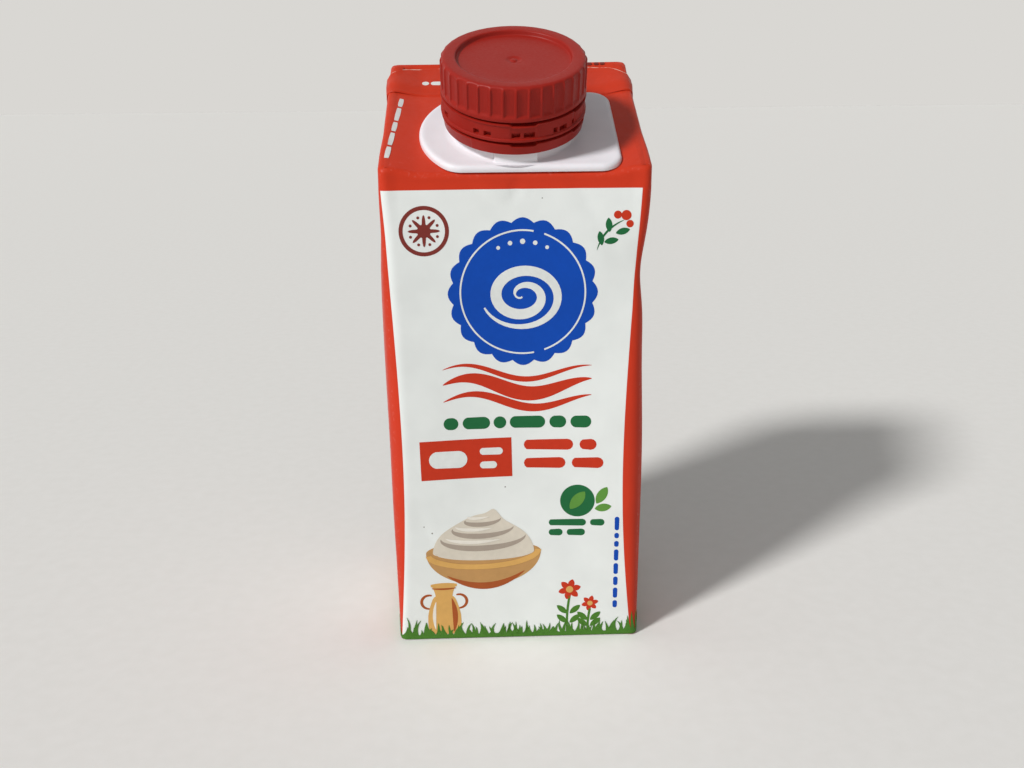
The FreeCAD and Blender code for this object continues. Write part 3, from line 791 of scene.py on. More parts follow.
def fin_layers(across, share):
    """Under side and upper side of the fin above the board, share of the way to its free edge."""
    board = sizes()
    over = abs(across) - board.width / 2
    width = fin_width(across)
    along = board.fin_fold + share * width
    base = ear_lift(over, along) if over > -2.5 * MM else 0.02 * MM
    # the free edge springs up unevenly, but not where the fin turns down over the sides
    wave = 0.16 * MM * math.sin(across / (8.3 * MM) + 0.6)
    wave += 0.08 * MM * math.sin(across / (3.1 * MM))
    flat = 1 - smooth(over, -5 * MM, 0.5 * MM)
    spring = ((0.3 * MM + wave) * share ** 1.6 + 0.35 * MM * share ** 3.2) * flat
    if over < -0.9 * MM:
        # the strip bridges the hollow in front of the back edge
        spring = max(spring + top_relief(across, board.fin_fold) - top_relief(across, along), 0.0)
    thick = board.board * (0.9 + 1.0 * smooth(share * width, 0, 3.5 * MM))
    thick *= 1 - 0.58 * smooth(over, -2 * MM, 2.5 * MM)
    return base + spring, base + spring + thick


def build_fin():
    """The seal fin: a doubled strip from ear tip to ear tip, folded back and springing up a little."""
    board = sizes()
    piece = grid_box("seal_fin", (120, 18, 2))
    reach = board.width / 2 + board.depth / 2 - 0.4 * MM
    # the free edge shows bare fibre on its rear and, here and there, along its upper rim
    for face in piece.data.polygons:
        if face.center.y > 0.99:
            face.material_index = 1
        elif face.center.z > 0.99 and face.center.y > 0.9:
            face.material_index = 2

    def place(cube):
        across = cube.x * reach
        share = (clustered(cube.y, 0.75) + 1) / 2
        width = fin_width(across)
        low, high = fin_layers(across, share)
        left = round_edge(share * width, 0.25 * MM) * round_edge(reach - abs(across), 0.3 * MM)
        sway = 0.18 * MM * math.sin(across / (11 * MM) + 2.0) * (1 - share)
        along = board.fin_fold + share * width + sway
        return drape(across, along, (low + high) / 2 + cube.z * (high - low) / 2 * left)

    reshape(piece, place)
    close_up(piece)
    return piece


def build_ear(name, hand):
    """One ear: doubled board folded down from the top panel, a triangle down to its tip."""
    board = sizes()
    piece = grid_box(name, (30, 46, 2))
    deep, slope = board.depth / 2, board.depth / math.cos(lean())
    start = -2.5 * MM

    def place(cube):
        over = start + (deep - start) * (clustered(cube.x, 0.3) + 1) / 2
        down = max(over, 0.0) / deep
        front = down * board.fin_fold + 0.25 * MM
        end = slope - 1.5 * MM
        rear = end - down * (end - board.fin_fold) - 0.1 * MM
        share = (clustered(cube.y, 0.5) + 1) / 2
        along = front + (rear - front) * share
        lift = ear_lift(over, along)
        if cube.z < 0:
            return drape(hand * (board.width / 2 + over), along, 0.0)
        near = min(along - front, rear - along, (deep - over) * 0.5)
        return drape(hand * (board.width / 2 + over), along, lift * round_edge(near, 0.3 * MM))

    reshape(piece, place)
    close_up(piece)
    return piece


# ---------------------------------------------------------------- spout, rings and cap

def turned(name, steps, rings, place):
    """A closed body about the spout's axis: a cylinder cut into rings, each vertex placed by function.

    place takes the angle from the front, turning to the right, and the ring's number from below.
    """
    piece = begin(
        name, bpy.ops.mesh.primitive_cylinder_add, vertices=steps, radius=1, depth=2,
        end_fill_type="NGON",
    )
    bpy.ops.object.mode_set(mode="EDIT")
    pick(piece, "EDGE", lambda edge: runs_along(edge, 2))
    bpy.ops.mesh.subdivide(number_cuts=rings - 2)
    bpy.ops.object.mode_set(mode="OBJECT")
    to_axis = Matrix.Translation(spout_foot()) @ Matrix.Rotation(lean(), 4, "X")

    def put(cylinder):
        ring = round((cylinder.z + 1) / 2 * (rings - 1))
        return to_axis @ place(math.atan2(cylinder.x, -cylinder.y), ring)

    reshape(piece, put)
    close_up(piece)
    return piece


def spout_foot():
    """Where the spout's axis meets the top panel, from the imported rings' own place."""
    low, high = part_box("tether_band")
    part = closure()
    band = part.ring_height + part.slit + part.strap_height
    height = part.flange_thick + part.collar_height + band / 2
    return (low + high) / 2 - height * Vector((0, -math.sin(lean()), math.cos(lean())))


def about(radius, angle, height):
    """A point about the spout's axis; the angle is measured from the front."""
    return Vector((radius * math.sin(angle), -radius * math.cos(angle), height))


def arc(centre, radius, begin_angle, end_angle, steps):
    """Points of a rounding in the turned section, as (radius, height), by angles in degrees."""
    points = []
    for index in range(steps + 1):
        angle = math.radians(begin_angle + (end_angle - begin_angle) * index / steps)
        points.append((centre[0] + radius * math.cos(angle), centre[1] + radius * math.sin(angle)))
    return points


def flange_outline(share, inset):
    """A point on the flange's outline, five arcs tangent to straight runs, drawn in by an inset."""
    part = closure()
    round_side, corner, blend = part.flange_radius, 4.2 * MM, 5.0 * MM
    inner = round_side - blend
    front_y, back_y = blend - part.flange_front, part.flange_back - blend
    front_x, back_x = -math.sqrt(inner ** 2 - front_y ** 2), -math.sqrt(inner ** 2 - back_y ** 2)
    right = part.flange_reach - corner
    front_turn = math.degrees(math.atan2(-front_y, -front_x))
    back_turn = math.degrees(math.atan2(back_y, -back_x))
    arcs = (
        ((right, corner - part.flange_front), corner, -90, 0),
        ((right, part.flange_back - corner), corner, 0, 90),
        ((back_x, back_y), blend, 90, 180 - back_turn),
        ((0.0, 0.0), round_side, 180 - back_turn, 180 + front_turn),
        ((front_x, front_y), blend, 180 + front_turn, 270),
    )
    # each arc, and the straight run from its end to the next arc, as length, centre, radius and angles
    runs = []
    for number, (centre, radius, first, last) in enumerate(arcs):
        after = arcs[(number + 1) % len(arcs)]
        end = on_circle(centre, radius, last)
        runs.append((radius * math.radians(last - first), centre, radius, first, last))
        runs.append(((on_circle(after[0], after[1], after[2]) - end).length, end, None, last, last))
    way = share * sum(run[0] for run in runs)
    number = 0
    while way > runs[number][0] and number < len(runs) - 1:
        way -= runs[number][0]
        number += 1
    span, centre, radius, first, last = runs[number]
    if radius is None:
        direction = Vector((-math.sin(math.radians(first)), math.cos(math.radians(first))))
        outward = Vector((direction.y, -direction.x))
        return centre + direction * way - outward * inset
    angle = first + (last - first) * way / span
    return on_circle(centre, radius - inset, angle)


def build_flange():
    """Flange with a rounded upper edge, a shallow gutter and the collar that carries the rings."""
    part = closure()
    thick, edge = part.flange_thick, 0.8 * MM
    collar, neck = part.collar_radius, part.neck_radius
    top = thick + part.collar_height
    seam = 0.13             # where on the outline the rings start, as a share of it
    tab_left, tab_right, step_back = -18.5, 19.5, 0.75 * MM
    # rings of the flange by inset and height, then rings of the collar by radius and height
    plate = [(0.15 * MM, 0.0), (0.0, 0.12 * MM), (0.0, thick - edge)]
    plate += [
        (edge - reach, height + thick - edge) for reach, height in arc((0, 0), edge, 0, 90, 7)[1:]
    ]
    plate += [(1.3 * MM, thick), (1.6 * MM, thick - 0.05 * MM)]
    foot = 0.6 * MM
    tube = [(collar + 1.0 * MM, thick - 0.05 * MM)]
    tube += [
        (collar + foot - reach, thick + foot - height - 0.05 * MM)
        for reach, height in [(foot * math.sin(a), foot * math.cos(a)) for a in (0, 0.5, 1.0, 1.57)]
    ]
    tube += [(collar, top - 0.2 * MM), (collar - 0.15 * MM, top), (neck, top), (neck, top + 5.5 * MM)]
    rings = len(plate) + len(tube)

    def place(angle, ring):
        share = (angle / math.tau + seam) % 1.0
        if ring < len(plate):
            inset, height = plate[ring]
            point = flange_outline(share, inset)
            return Vector((point.x, point.y, height))
        radius, height = tube[ring - len(plate)]
        point = flange_outline(share, 0.0)
        heading = math.atan2(point.x, -point.y)
        if height > thick and radius > neck + 0.8 * MM:
            # but for a tab in front, the collar stands back under the rings
            radius -= step_back * (1 - wedge(heading, tab_left, tab_right, 0.8))
        return about(radius, heading, height)

    return turned("flange", 480, rings, place)


def wedge(angle, first, last, soft=0.5):
    """1 between two angles in degrees, with soft ends."""
    degrees = math.degrees(angle)
    return smooth(degrees, first - soft, first + soft) * (1 - smooth(degrees, last - soft, last + soft))


def build_rings():
    """Lock ring and tether strap: uneven slits, a lower lip on the strap, windows and thin bridges."""
    part = closure()
    outer, web, inner = part.ring_radius, part.ring_radius - 1.2 * MM, part.neck_radius + 0.3 * MM
    ring, slit, strap = part.ring_height, part.slit, part.strap_height
    low = ring + slit
    high = low + strap
    soft = 0.12 * MM
    wider = outer + 0.22 * MM
    below = 0.45 * MM
    # the section from the foot upwards, as radius, height and the part of it that a row belongs to
    rows = [(inner, -below, "foot"), (outer - 0.4 * MM, -below, "foot")]
    rows += [(outer - 0.2 * MM, soft - below, "ring"), (outer, 0.5 * ring, "ring")]
    rows += [(outer + 0.08 * MM, ring - soft, "edge"), (outer - soft, ring, "edge")]
    rows += [(web, ring, "edge"), (web, low, "web"), (outer, low, "lip"), (wider, low + soft, "lip")]
    rows += [(wider, low + 0.55 * MM, "lip"), (outer, low + 0.68 * MM, "strap")]
    rows += [(outer, low + 0.75 * MM, "strap")]
    rows += [(outer, low + height * MM, "strap") for height in (0.82, 0.9, 1.2, 1.5, 1.7, 1.78, 2.2)]
    rows += [(outer, high - 0.5 * MM, "strap"), (outer + 0.18 * MM, high - 0.3 * MM, "top")]
    rows += [(outer + 0.18 * MM, high - soft, "top"), (outer - soft, high, "top"), (web, high, "top")]
    rows += [(web, high + slit - 0.02 * MM, "web"), (inner, high + slit - 0.02 * MM, "end")]
    # windows in the strap, stretches where the slits gape, and bridges across them, in degrees
    windows = (
        (-34, -30), (-25, -20), (-3, 3), (6.5, 14.5), (31, 34), (37, 44),
        (51, 54), (86, 93), (108, 112), (128, 136), (150, 154), (166, 174),
        (-172, -168), (-150, -143), (-121, -113), (-96, -90), (-72, -66),
    )
    wide = ((-4, 16), (52, 74), (120, 139), (-134, -118))
    bridges = (-79, -41, -27, 24, 47, 81, 103, 145, 178, -159, -103)
    foot = part.flange_thick + part.collar_height

    def place(angle, number):
        radius, height, kind = rows[number]
        gape = sum(wedge(angle, first, last, 1.5) for first, last in wide)
        if kind == "edge":
            height -= 0.16 * MM + 0.4 * MM * gape
        if kind == "top":
            height -= 0.08 * MM + 0.36 * MM * gape
        if kind == "web":
            radius += 1.08 * MM * sum(wedge(angle, at - 0.7, at + 0.7, 0.25) for at in bridges)
        if kind == "strap" and 0.85 * MM < height - low < 1.75 * MM:
            radius -= 0.75 * MM * sum(wedge(angle, first, last, 0.25) for first, last in windows)
        if kind == "strap":
            radius -= 0.12 * MM * gape
        if kind == "ring":
            radius -= 0.14 * MM * wedge(angle, -180, -37, 0.6)
        return about(radius, angle, foot + height)

    return turned("tether_strap_and_ring", 720, len(rows), place)


def build_cap():
    """The screw cap: plain lip, fluted skirt, rounded rim and sunk disc with its gate mark."""
    part = closure()
    outer, height, rim = part.cap_radius, part.cap_height, 1.05 * MM
    lip, shoulder = 0.85 * MM, height - rim
    flare = outer + 0.05 * MM
    # the section as radius and height, from inside the lip over the rim to the disc's middle
    rows = [(outer - 1.2 * MM, 0), (flare - 0.16 * MM, 0)]
    rows += [(flare - 0.04 * MM, 0.05 * MM), (flare, 0.16 * MM)]
    rows += [(flare, 0.6 * MM), (outer, lip)]
    rows += [(outer, lip + (shoulder - lip) * index / 18) for index in range(1, 18)]
    rows += arc((outer - rim, shoulder), rim, 0, 90, 10)
    disc = 10.7 * MM
    sunk = height - 0.9 * MM
    rows += [(disc + 0.35 * MM, height), (disc + 0.12 * MM, height - 0.05 * MM)]
    rows += [(disc, height - 0.2 * MM), (disc - 0.1 * MM, sunk + 0.25 * MM)]
    rows += [(disc - 0.25 * MM, sunk + 0.06 * MM), (disc - 0.5 * MM, sunk)]
    # the gate mark in the middle: a sunk ring about a small pip
    rows += [(7 * MM, sunk), (4 * MM, sunk), (1.7 * MM, sunk), (1.35 * MM, sunk - 0.03 * MM)]
    rows += [(1.1 * MM, sunk - 0.16 * MM), (0.7 * MM, sunk - 0.2 * MM), (0.5 * MM, sunk - 0.04 * MM)]
    rows += [(0.3 * MM, sunk + 0.02 * MM), (0.04 * MM, sunk + 0.03 * MM)]
    foot = part.flange_thick + part.collar_height
    foot += part.ring_height + part.strap_height + 2 * part.slit
    pitch = 360 / part.rib_count

    def place(angle, number):
        radius, level = rows[number]
        off = abs((math.degrees(angle) + pitch / 2) % pitch - pitch / 2)
        hollow = smooth(off, 0.3, 1.4) * (0.82 + 0.18 * smooth(off, 1.4, pitch / 2))
        crown = shoulder + 0.95 * MM - 0.15 * MM * (1 - off / (pitch / 2)) ** 2
        hollow *= smooth(level, lip, lip + 0.35 * MM)
        hollow *= 1 - smooth(level, crown - 0.7 * MM, crown + 0.1 * MM)
        if radius > disc + 1 * MM:
            radius -= part.rib_depth * hollow
            level += 0.03 * MM * math.sin(3 * angle + 0.7) * smooth(level, shoulder, height)
        return about(radius, angle, foot + level)

    return turned("screw_cap_shell", 720, len(rows), place)


# ---------------------------------------------------------------- print

def new_print(name):
    """An empty mesh in edit mode, ready to take flat printed shapes laid out on the blank."""
    piece = begin(name, bpy.ops.mesh.primitive_plane_add, size=1)
    bpy.ops.object.mode_set(mode="EDIT")
    bpy.ops.mesh.delete(type="VERT")
    return piece


def patch(piece, centre, outline, count=24, layer=0):
    """One filled shape in millimetres: a circle whose rim follows an outline function of the angle."""
    bpy.ops.mesh.primitive_circle_add(vertices=count, radius=1.0, fill_type="TRIFAN")
    mesh = bmesh.from_edit_mesh(piece.data)
    for vertex in (vertex for vertex in mesh.verts if vertex.select):
        x, y = centre
        if vertex.co.length > 0.5:
            step_x, step_y = outline(math.atan2(vertex.co.y, vertex.co.x))
            x, y = x + step_x, y + step_y
        vertex.co = Vector((x, y, layer)) * MM
    bmesh.update_edit_mesh(piece.data)


def ribbon(piece, path, width, count=12, layer=0):
    """One stroke in millimetres: a strip along a path, both given by functions of 0 to 1."""
    bpy.ops.mesh.primitive_grid_add(x_subdivisions=count, y_subdivisions=1, size=2)
    mesh = bmesh.from_edit_mesh(piece.data)
    for vertex in (vertex for vertex in mesh.verts if vertex.select):
        share = (vertex.co.x + 1) / 2
        here, there = Vector(path(max(share - 0.01, 0))), Vector(path(min(share + 0.01, 1)))
        along = (there - here).normalized()
        point = Vector(path(share)) + Vector((-along.y, along.x)) * vertex.co.y * width(share) / 2
        vertex.co = Vector((point.x, point.y, layer)) * MM
    bmesh.update_edit_mesh(piece.data)


def finish_print(piece, material, place=wall, spacing=2.0):
    """Cut the flat shapes every millimetre or two, thicken them to a film and lay them on the board."""
    clear_of_points = 0.013     # millimetres, so that no cut runs through the shapes' own points
    points = [vertex.co.copy() for vertex in bmesh.from_edit_mesh(piece.data).verts]
    for axis in (0, 1):
        low = min(point[axis] for point in points) / MM
        high = max(point[axis] for point in points) / MM
        normal = [0.0, 0.0, 0.0]
        normal[axis] = 1.0
        cut_at = math.ceil(low / spacing) * spacing + clear_of_points
        while cut_at < high:
            bpy.ops.mesh.select_all(action="SELECT")
            cut = [0.0, 0.0, 0.0]
            cut[axis] = cut_at * MM
            bpy.ops.mesh.bisect(plane_co=cut, plane_no=normal, threshold=1e-7)
            cut_at += spacing
    bpy.ops.object.mode_set(mode="OBJECT")
    # while flat, the layers lie a millimetre apart and are a millimetre thick
    modify(piece, "SOLIDIFY", thickness=1 * MM, offset=0.0)
    reshape(piece, lambda flat: place(flat.x, flat.y, FILM * (1.4 * flat.z / MM + 0.5)))
    close_up(piece)
    done(piece, material, "carton", angle=50)


def circle(radius):
    """Outline of a disc."""
    return lambda angle: (radius * math.cos(angle), radius * math.sin(angle))


def pill(width, height):
    """Outline of a bar with round ends."""
    straight, end = max(width - height, 0) / 2, height / 2

    def outline(angle):
        x, y = math.cos(angle), math.sin(angle)
        return math.copysign(straight, x) + end * x, end * y
    return outline


def scallops(radius, count, depth):
    """Outline of a badge with a scalloped rim."""
    def outline(angle):
        reach = radius - depth * (1 - abs(math.cos(count * angle / 2)))
        return reach * math.cos(angle), reach * math.sin(angle)
    return outline


def star(radius, points, waist):
    """Outline of a star: waist is the share of the radius that is left between its points."""
    def outline(angle):
        ray = (0.5 + 0.5 * math.cos(points * (angle - QUARTER_TURN))) ** 2
        reach = radius * (waist + (1 - waist) * ray)
        return reach * math.cos(angle), reach * math.sin(angle)
    return outline


def leaf(length_mm, width_mm, turn):
    """Outline of a pointed leaf that is turned by an angle in degrees."""
    spin = math.radians(turn)

    def outline(angle):
        x = length_mm / 2 * math.cos(angle)
        y = width_mm / 2 * math.sin(angle) * abs(math.sin(angle)) ** 0.6
        return x * math.cos(spin) - y * math.sin(spin), x * math.sin(spin) + y * math.cos(spin)
    return outline


def line(start, end, bow=0.0):
    """A stroke's path from start to end, bowed to its left."""
    run = Vector(end) - Vector(start)

    def path(share):
        side = Vector((-run.y, run.x)) * bow * 4 * share * (1 - share)
        return Vector(start) + run * share + side
    return path


def even(width):
    """Width of a stroke that stays the same."""
    return lambda share: width


def tapered(width, ends=0.15):
    """Width of a stroke that narrows towards both ends, to a share of its full width."""
    return lambda share: width * (ends + (1 - ends) * math.sin(math.pi * share) ** 0.8)


def pointed(width):
    """Width of a stroke that runs out to a point."""
    return lambda share: width * (1 - share) ** 0.8 + 0.03


def ring_path(centre, radius, start=0.0, sweep=360.0):
    """A stroke's path round a circle, by angles in degrees."""
    return lambda share: on_circle(centre, radius, start + sweep * share)


def bars(piece, left, right, top, rows, pitch, height, seed, layer=0):
    """Rows of short bars of uneven length, where a pack has its small print."""
    rng = random.Random(seed)
    for row in range(rows):
        x, y = left, top - row * pitch
        last = right - (right - left) * rng.uniform(0.0, 0.3)
        while x < last - height:
            width = min(rng.uniform(1.6, 5.2) * height, last - x)
            patch(piece, (x + width / 2, y), pill(width, height), 12, layer)
            x += width + 0.55 * height


def badge():
    """Blue scalloped badge with a swirl of cream in place of a name."""
    centre = (1.2, 74.4)
    piece = new_print("blue_badge")
    patch(piece, centre, scallops(14.3, 20, 0.9), 160)
    finish_print(piece, board_ink("blue"))
    piece = new_print("badge_swirl")
    ribbon(piece, ring_path(centre, 11.9, 80, 200), even(0.32), 60, 1)
    ribbon(piece, ring_path(centre, 11.9, 290, 140), even(0.32), 44, 1)

    def swirl(share):
        angle = math.radians(200 + 760 * share)
        reach = 7.6 * (1 - share) ** 0.75 + 0.25
        return centre[0] + reach * math.cos(angle), centre[1] - 0.6 + 0.82 * reach * math.sin(angle)
    ribbon(piece, swirl, lambda share: 0.35 + 1.75 * math.sin(math.pi * min(share * 1.1, 1)) ** 0.9, 90, 1)
    for turn in range(5):
        patch(piece, on_circle(centre, 9.8, 62 + 14 * turn), circle(0.5 - 0.07 * abs(turn - 2)), 14, 1)
    finish_print(piece, board_ink("white"))


def small_marks():
    """Maroon star roundel and a berry sprig, one in each upper corner of the front."""
    piece = new_print("star_roundel")
    centre = (-17.2, 86.4)
    ribbon(piece, ring_path(centre, 4.3), even(0.75), 48)
    patch(piece, centre, star(3.0, 8, 0.42), 96)
    for turn in range(8):
        patch(piece, on_circle(centre, 2.7, 22.5 + 45 * turn), circle(0.28), 10)
    finish_print(piece, board_ink("maroon"))
    piece = new_print("sprig_leaves")
    ribbon(piece, line((15.2, 82.4), (20.2, 88.0), 0.12), tapered(0.4), 14)
    for x, y, turn in ((15.9, 84.6, 100), (17.9, 84.1, 10), (17.4, 87.1, 95), (20.0, 85.9, 15)):
        patch(piece, (x, y), leaf(2.7, 1.25, turn), 20)
    finish_print(piece, board_ink("green"))
    piece = new_print("sprig_berries")
    for x, y, radius in ((20.6, 88.9, 0.95), (19.0, 89.0, 0.75), (21.3, 87.3, 0.7)):
        patch(piece, (x, y), circle(radius), 20)
    finish_print(piece, board_ink("red"))


def dust_specks():
    """A few specks of dirt that stick to the bare parts of the front."""
    piece = new_print("dust_specks")
    for x, y, radius in ((-2.6, 34.6, 0.15), (-19.2, 26.4, 0.13), (-17.6, 24.9, 0.17), (4.9, 92.2, 0.12)):
        patch(piece, (x, y), circle(radius), 8)
    finish_print(piece, printed_ink("dirt_on_board", colours().dirt))


def flourish_and_bars():
    """Red brush waves, a green row of bars, the red box and the rows beside it."""
    piece = new_print("red_flourish")

    def wave(rise, spread, phase):
        def path(share):
            x = -14.5 + 29 * share
            return x, 55.5 + rise + spread * math.sin(phase + share * 7.4) * (1 - 0.25 * share)
        return path
    ribbon(piece, wave(0.4, 1.9, 0.3), tapered(3.0, 0.05), 56)
    ribbon(piece, wave(-2.7, 1.7, 0.1), tapered(1.7, 0.05), 56)
    ribbon(piece, wave(3.2, 1.7, 0.5), tapered(1.1, 0.05), 56)
    finish_print(piece, board_ink("red"))
    piece = new_print("green_bars")
    x = -14.6
    for width in (2.9, 5.4, 2.2, 7.0, 3.3, 4.1):
        patch(piece, (x + width / 2, 48.4), pill(width, 2.5), 24)
        x += width + 0.85
    finish_print(piece, board_ink("green"))
    piece = new_print("red_box")
    ribbon(piece, line((-19.4, 40.75), (-1.2, 41.05)), even(8.3), 10)
    bars(piece, 1.2, 19.0, 43.6, rows=1, pitch=3.0, height=2.3, seed=5)
    bars(piece, 1.2, 19.6, 39.7, rows=1, pitch=3.0, height=2.3, seed=11)
    finish_print(piece, board_ink("red"))
    piece = new_print("red_box_bars")
    patch(piece, (-13.9, 40.9), pill(7.6, 3.6), 28, 1)
    patch(piece, (-5.3, 42.4), pill(4.6, 1.5), 20, 1)
    patch(piece, (-5.9, 39.5), pill(3.4, 1.5), 20, 1)
    finish_print(piece, board_ink("white"))
    piece = new_print("blue_dashes")
    rng = random.Random(3)
    y = 6.8
    while y < 27:
        height = rng.uniform(1.2, 3.4)
        patch(piece, (20.1, y + height / 2), lambda angle: pill(height, 0.95)(angle)[::-1], 16)
        y += height + 0.6
    finish_print(piece, board_ink("blue"))


def leaf_mark():
    """Green roundel with a pale leaf, and two green rows under it."""
    piece = new_print("leaf_roundel")
    patch(piece, (12.0, 31.4), circle(3.5), 48)
    bars(piece, 6.2, 18.4, 26.6, rows=2, pitch=2.2, height=1.5, seed=8)
    finish_print(piece, board_ink("green"))
    piece = new_print("roundel_leaf")
    patch(piece, (12.0, 31.5), leaf(4.8, 2.3, 52), 28, 1)
    patch(piece, (16.9, 32.6), leaf(4.2, 2.0, 60), 28)
    patch(piece, (17.2, 29.9), leaf(3.4, 1.7, 10), 28)
    finish_print(piece, board_ink("leaf"))


def bowl():
    """Wooden bowl with a swirled mound of cream, in flat tones."""
    x, y = -7.2, 20.4

    def hull(angle):
        return 11.8 * math.cos(angle), (7.8 if math.sin(angle) < 0 else 2.3) * math.sin(angle)

    def mound(angle):
        rise = math.sin(angle)
        if rise < 0:
            return 10.4 * math.cos(angle), 2.0 * rise
        peak = 1.5 * math.exp(-((angle - 1.35) / 0.13) ** 2)
        return 10.4 * math.cos(angle), 8.0 * rise ** 1.2 * (1 + 0.05 * math.sin(5 * angle)) + peak

    def turn(radius, rise, first, last):
        """A stroke along one turn of the swirl, as it looks from a little above."""
        def path(share):
            angle = math.radians(first + (last - first) * share)
            return x + radius * math.cos(angle), y + rise + 0.3 * radius * math.sin(angle) + 0.9 * share
        return path

    piece = new_print("bowl_wood")
    patch(piece, (x, y), hull, 72)
    finish_print(piece, board_ink("wood"))
    piece = new_print("bowl_base")
    ribbon(piece, line((x - 7.6, y - 5.4), (x + 8.4, y - 4.6), -0.18), tapered(1.5, 0.05), 30, 1)
    finish_print(piece, board_ink("brown"))
    piece = new_print("cream_mound")
    patch(piece, (x, y), mound, 120, 1)
    finish_print(piece, board_ink("cream"))
    piece = new_print("bowl_rim")
    ribbon(piece, turn(11.3, -0.5, 182, 358), lambda share: 1.15, 50, 2)
    finish_print(piece, board_ink("tan"))
    swirl = ((8.7, 2.9, 176, 356, 1.25), (6.3, 4.9, 168, 350, 1.15), (3.7, 6.7, 160, 352, 0.95))
    piece = new_print("cream_shadows")
    for radius, rise, first, last, width in swirl:
        ribbon(piece, turn(radius, rise, first, last), tapered(width, 0.02), 34, 2)
    finish_print(piece, board_ink("shade"))
    piece = new_print("cream_lights")
    for radius, rise, first, last, width in swirl:
        crest = turn(radius - 0.5, rise + 1.15, first + 22, last - 60)
        ribbon(piece, crest, tapered(0.65 * width, 0.02), 26, 3)
    finish_print(piece, board_ink("light"))


def churn():
    """Milk churn with two handles, in tan with brown shade."""
    x, y = -15.6, 5.9

    def belly(angle):
        c, s = math.cos(angle), math.sin(angle)
        side = math.copysign(abs(c) ** 0.35, c)
        up = math.copysign(abs(s) ** 0.5, s)
        return side * (3.5 - 0.9 * smooth(up, -0.2, 1.0)), 4.6 * up

    piece = new_print("churn_body")
    patch(piece, (x, y), belly, 64)
    ribbon(piece, line((x, y + 4.2), (x, y + 6.6)), lambda share: 3.5 + 1.3 * share ** 2, 8)
    ribbon(piece, line((x - 2.7, y + 7.0), (x + 2.7, y + 7.0)), tapered(1.1, 0.5), 10)
    finish_print(piece, board_ink("tan"))
    piece = new_print("churn_shade")
    ribbon(piece, line((x + 1.9, y - 4.0), (x + 1.6, y + 3.9), -0.06), tapered(1.1, 0.1), 14, 1)
    ribbon(piece, line((x - 2.5, y + 6.35), (x + 2.5, y + 6.35), -0.04), tapered(0.4, 0.3), 10, 1)
    ribbon(piece, ring_path((x - 3.1, y + 3.2), 1.6, 70, 200), tapered(0.6, 0.6), 20)
    ribbon(piece, ring_path((x + 3.1, y + 3.2), 1.6, 110, -200), tapered(0.6, 0.6), 20)
    finish_print(piece, board_ink("brown"))
    piece = new_print("churn_light")
    ribbon(piece, line((x - 1.9, y - 3.4), (x - 1.7, y + 3.2), 0.05), tapered(0.7, 0.1), 14, 1)
    finish_print(piece, board_ink("light"))


def meadow():
    """Daisies on the right of the front, and grass along the foot of the front and the sides."""
    # each daisy's place along the foot, height of its leaves' stem, height of its heart, and size
    daisies = ((10.6, 9.6, 11.2, 1.0), (14.9, 6.6, 7.9, 0.75))
    reach = 62.0
    rng = random.Random(21)
    piece = new_print("meadow_green")
    for x, top, _, _ in daisies:
        ribbon(piece, line((x - 0.4, 0.7), (x, top), 0.03), even(0.5), 10)
        for side in (-1, 1):
            for level in (0.3, 0.55):
                turn = 90 - side * 48
                spot = (x + side * 1.35 - 0.2, 0.7 + (top - 0.7) * level + 0.9)
                patch(piece, spot, leaf(2.9, 1.25, turn), 20)
    x = -reach
    while x < reach:
        height = rng.uniform(1.3, 3.4) * (1 + 0.5 * smooth(abs(x), 17, 24))
        bend = rng.uniform(-1.3, 1.3)
        blade = line((x, 0.6), (x + bend, 0.75 + height), rng.uniform(-0.15, 0.15))
        ribbon(piece, blade, pointed(0.9), 5, 2)
        x += rng.uniform(0.32, 0.75)
    ribbon(piece, line((-reach, 0.75), (reach, 0.75)), even(0.9), 90, 2)
    finish_print(piece, board_ink("grass"))
    piece = new_print("daisy_petals")
    for x, _, y, size in daisies:
        for turn in range(15, 375, 60):
            spot = on_circle((x, y), 1.35 * size, turn)
            patch(piece, spot, leaf(2.1 * size, 1.35 * size, turn), 20)
    finish_print(piece, board_ink("red"))
    piece = new_print("daisy_hearts")
    for x, _, y, size in daisies:
        patch(piece, (x, y), circle(0.75 * size), 20, 1)
    finish_print(piece, board_ink("tan"))


def on_top(x, along, lift):
    """A place on the top panel or over the side edge's fold, where the ears begin."""
    over = abs(x) - sizes().width / 2
    base = ear_lift(over, along) + 0.05 * MM if over > -3.2 * MM else 0.0
    return drape(x, along, base + lift)


def on_fin(x, along, lift):
    """A place on the upper side of the seal fin."""
    share = min(max((along - sizes().fin_fold) / fin_width(x), 0.0), 1.0)
    return drape(x, along, fin_layers(x, share)[1] + lift)


def top_marks():
    """White bars up the left edge of the slope and on the fin, maroon dots on the back edge."""
    piece = new_print("slope_bars")
    start, end = Vector((-24.1, 3.6)), Vector((-22.3, 27.4))
    for first, last in ((0, 0.17), (0.2, 0.4), (0.43, 0.58), (0.61, 0.83), (0.86, 1.0)):
        ribbon(piece, line(start.lerp(end, first), start.lerp(end, last)), tapered(0.95, 0.8), 8)
    finish_print(piece, board_ink("white"), on_top, 1.0)
    piece = new_print("fin_bars")
    fin_bars = (
        (-17.6, 1.3), (-15.3, 2.4), (-11.6, 3.9), (-7.0, 4.2), (-2.0, 4.8), (3.4, 5.0), (8.8, 4.6),
    )
    for x, width in fin_bars:
        patch(piece, (x, 34.2), pill(width, 1.5), 16)
    finish_print(piece, board_ink("white"), on_fin, 1.0)
    piece = new_print("back_edge_marks")
    for x in (17.4, 18.9, 20.2):
        patch(piece, (x, 41.2), pill(1.0, 0.45), 12)
    finish_print(piece, board_ink("maroon"), on_top, 1.0)


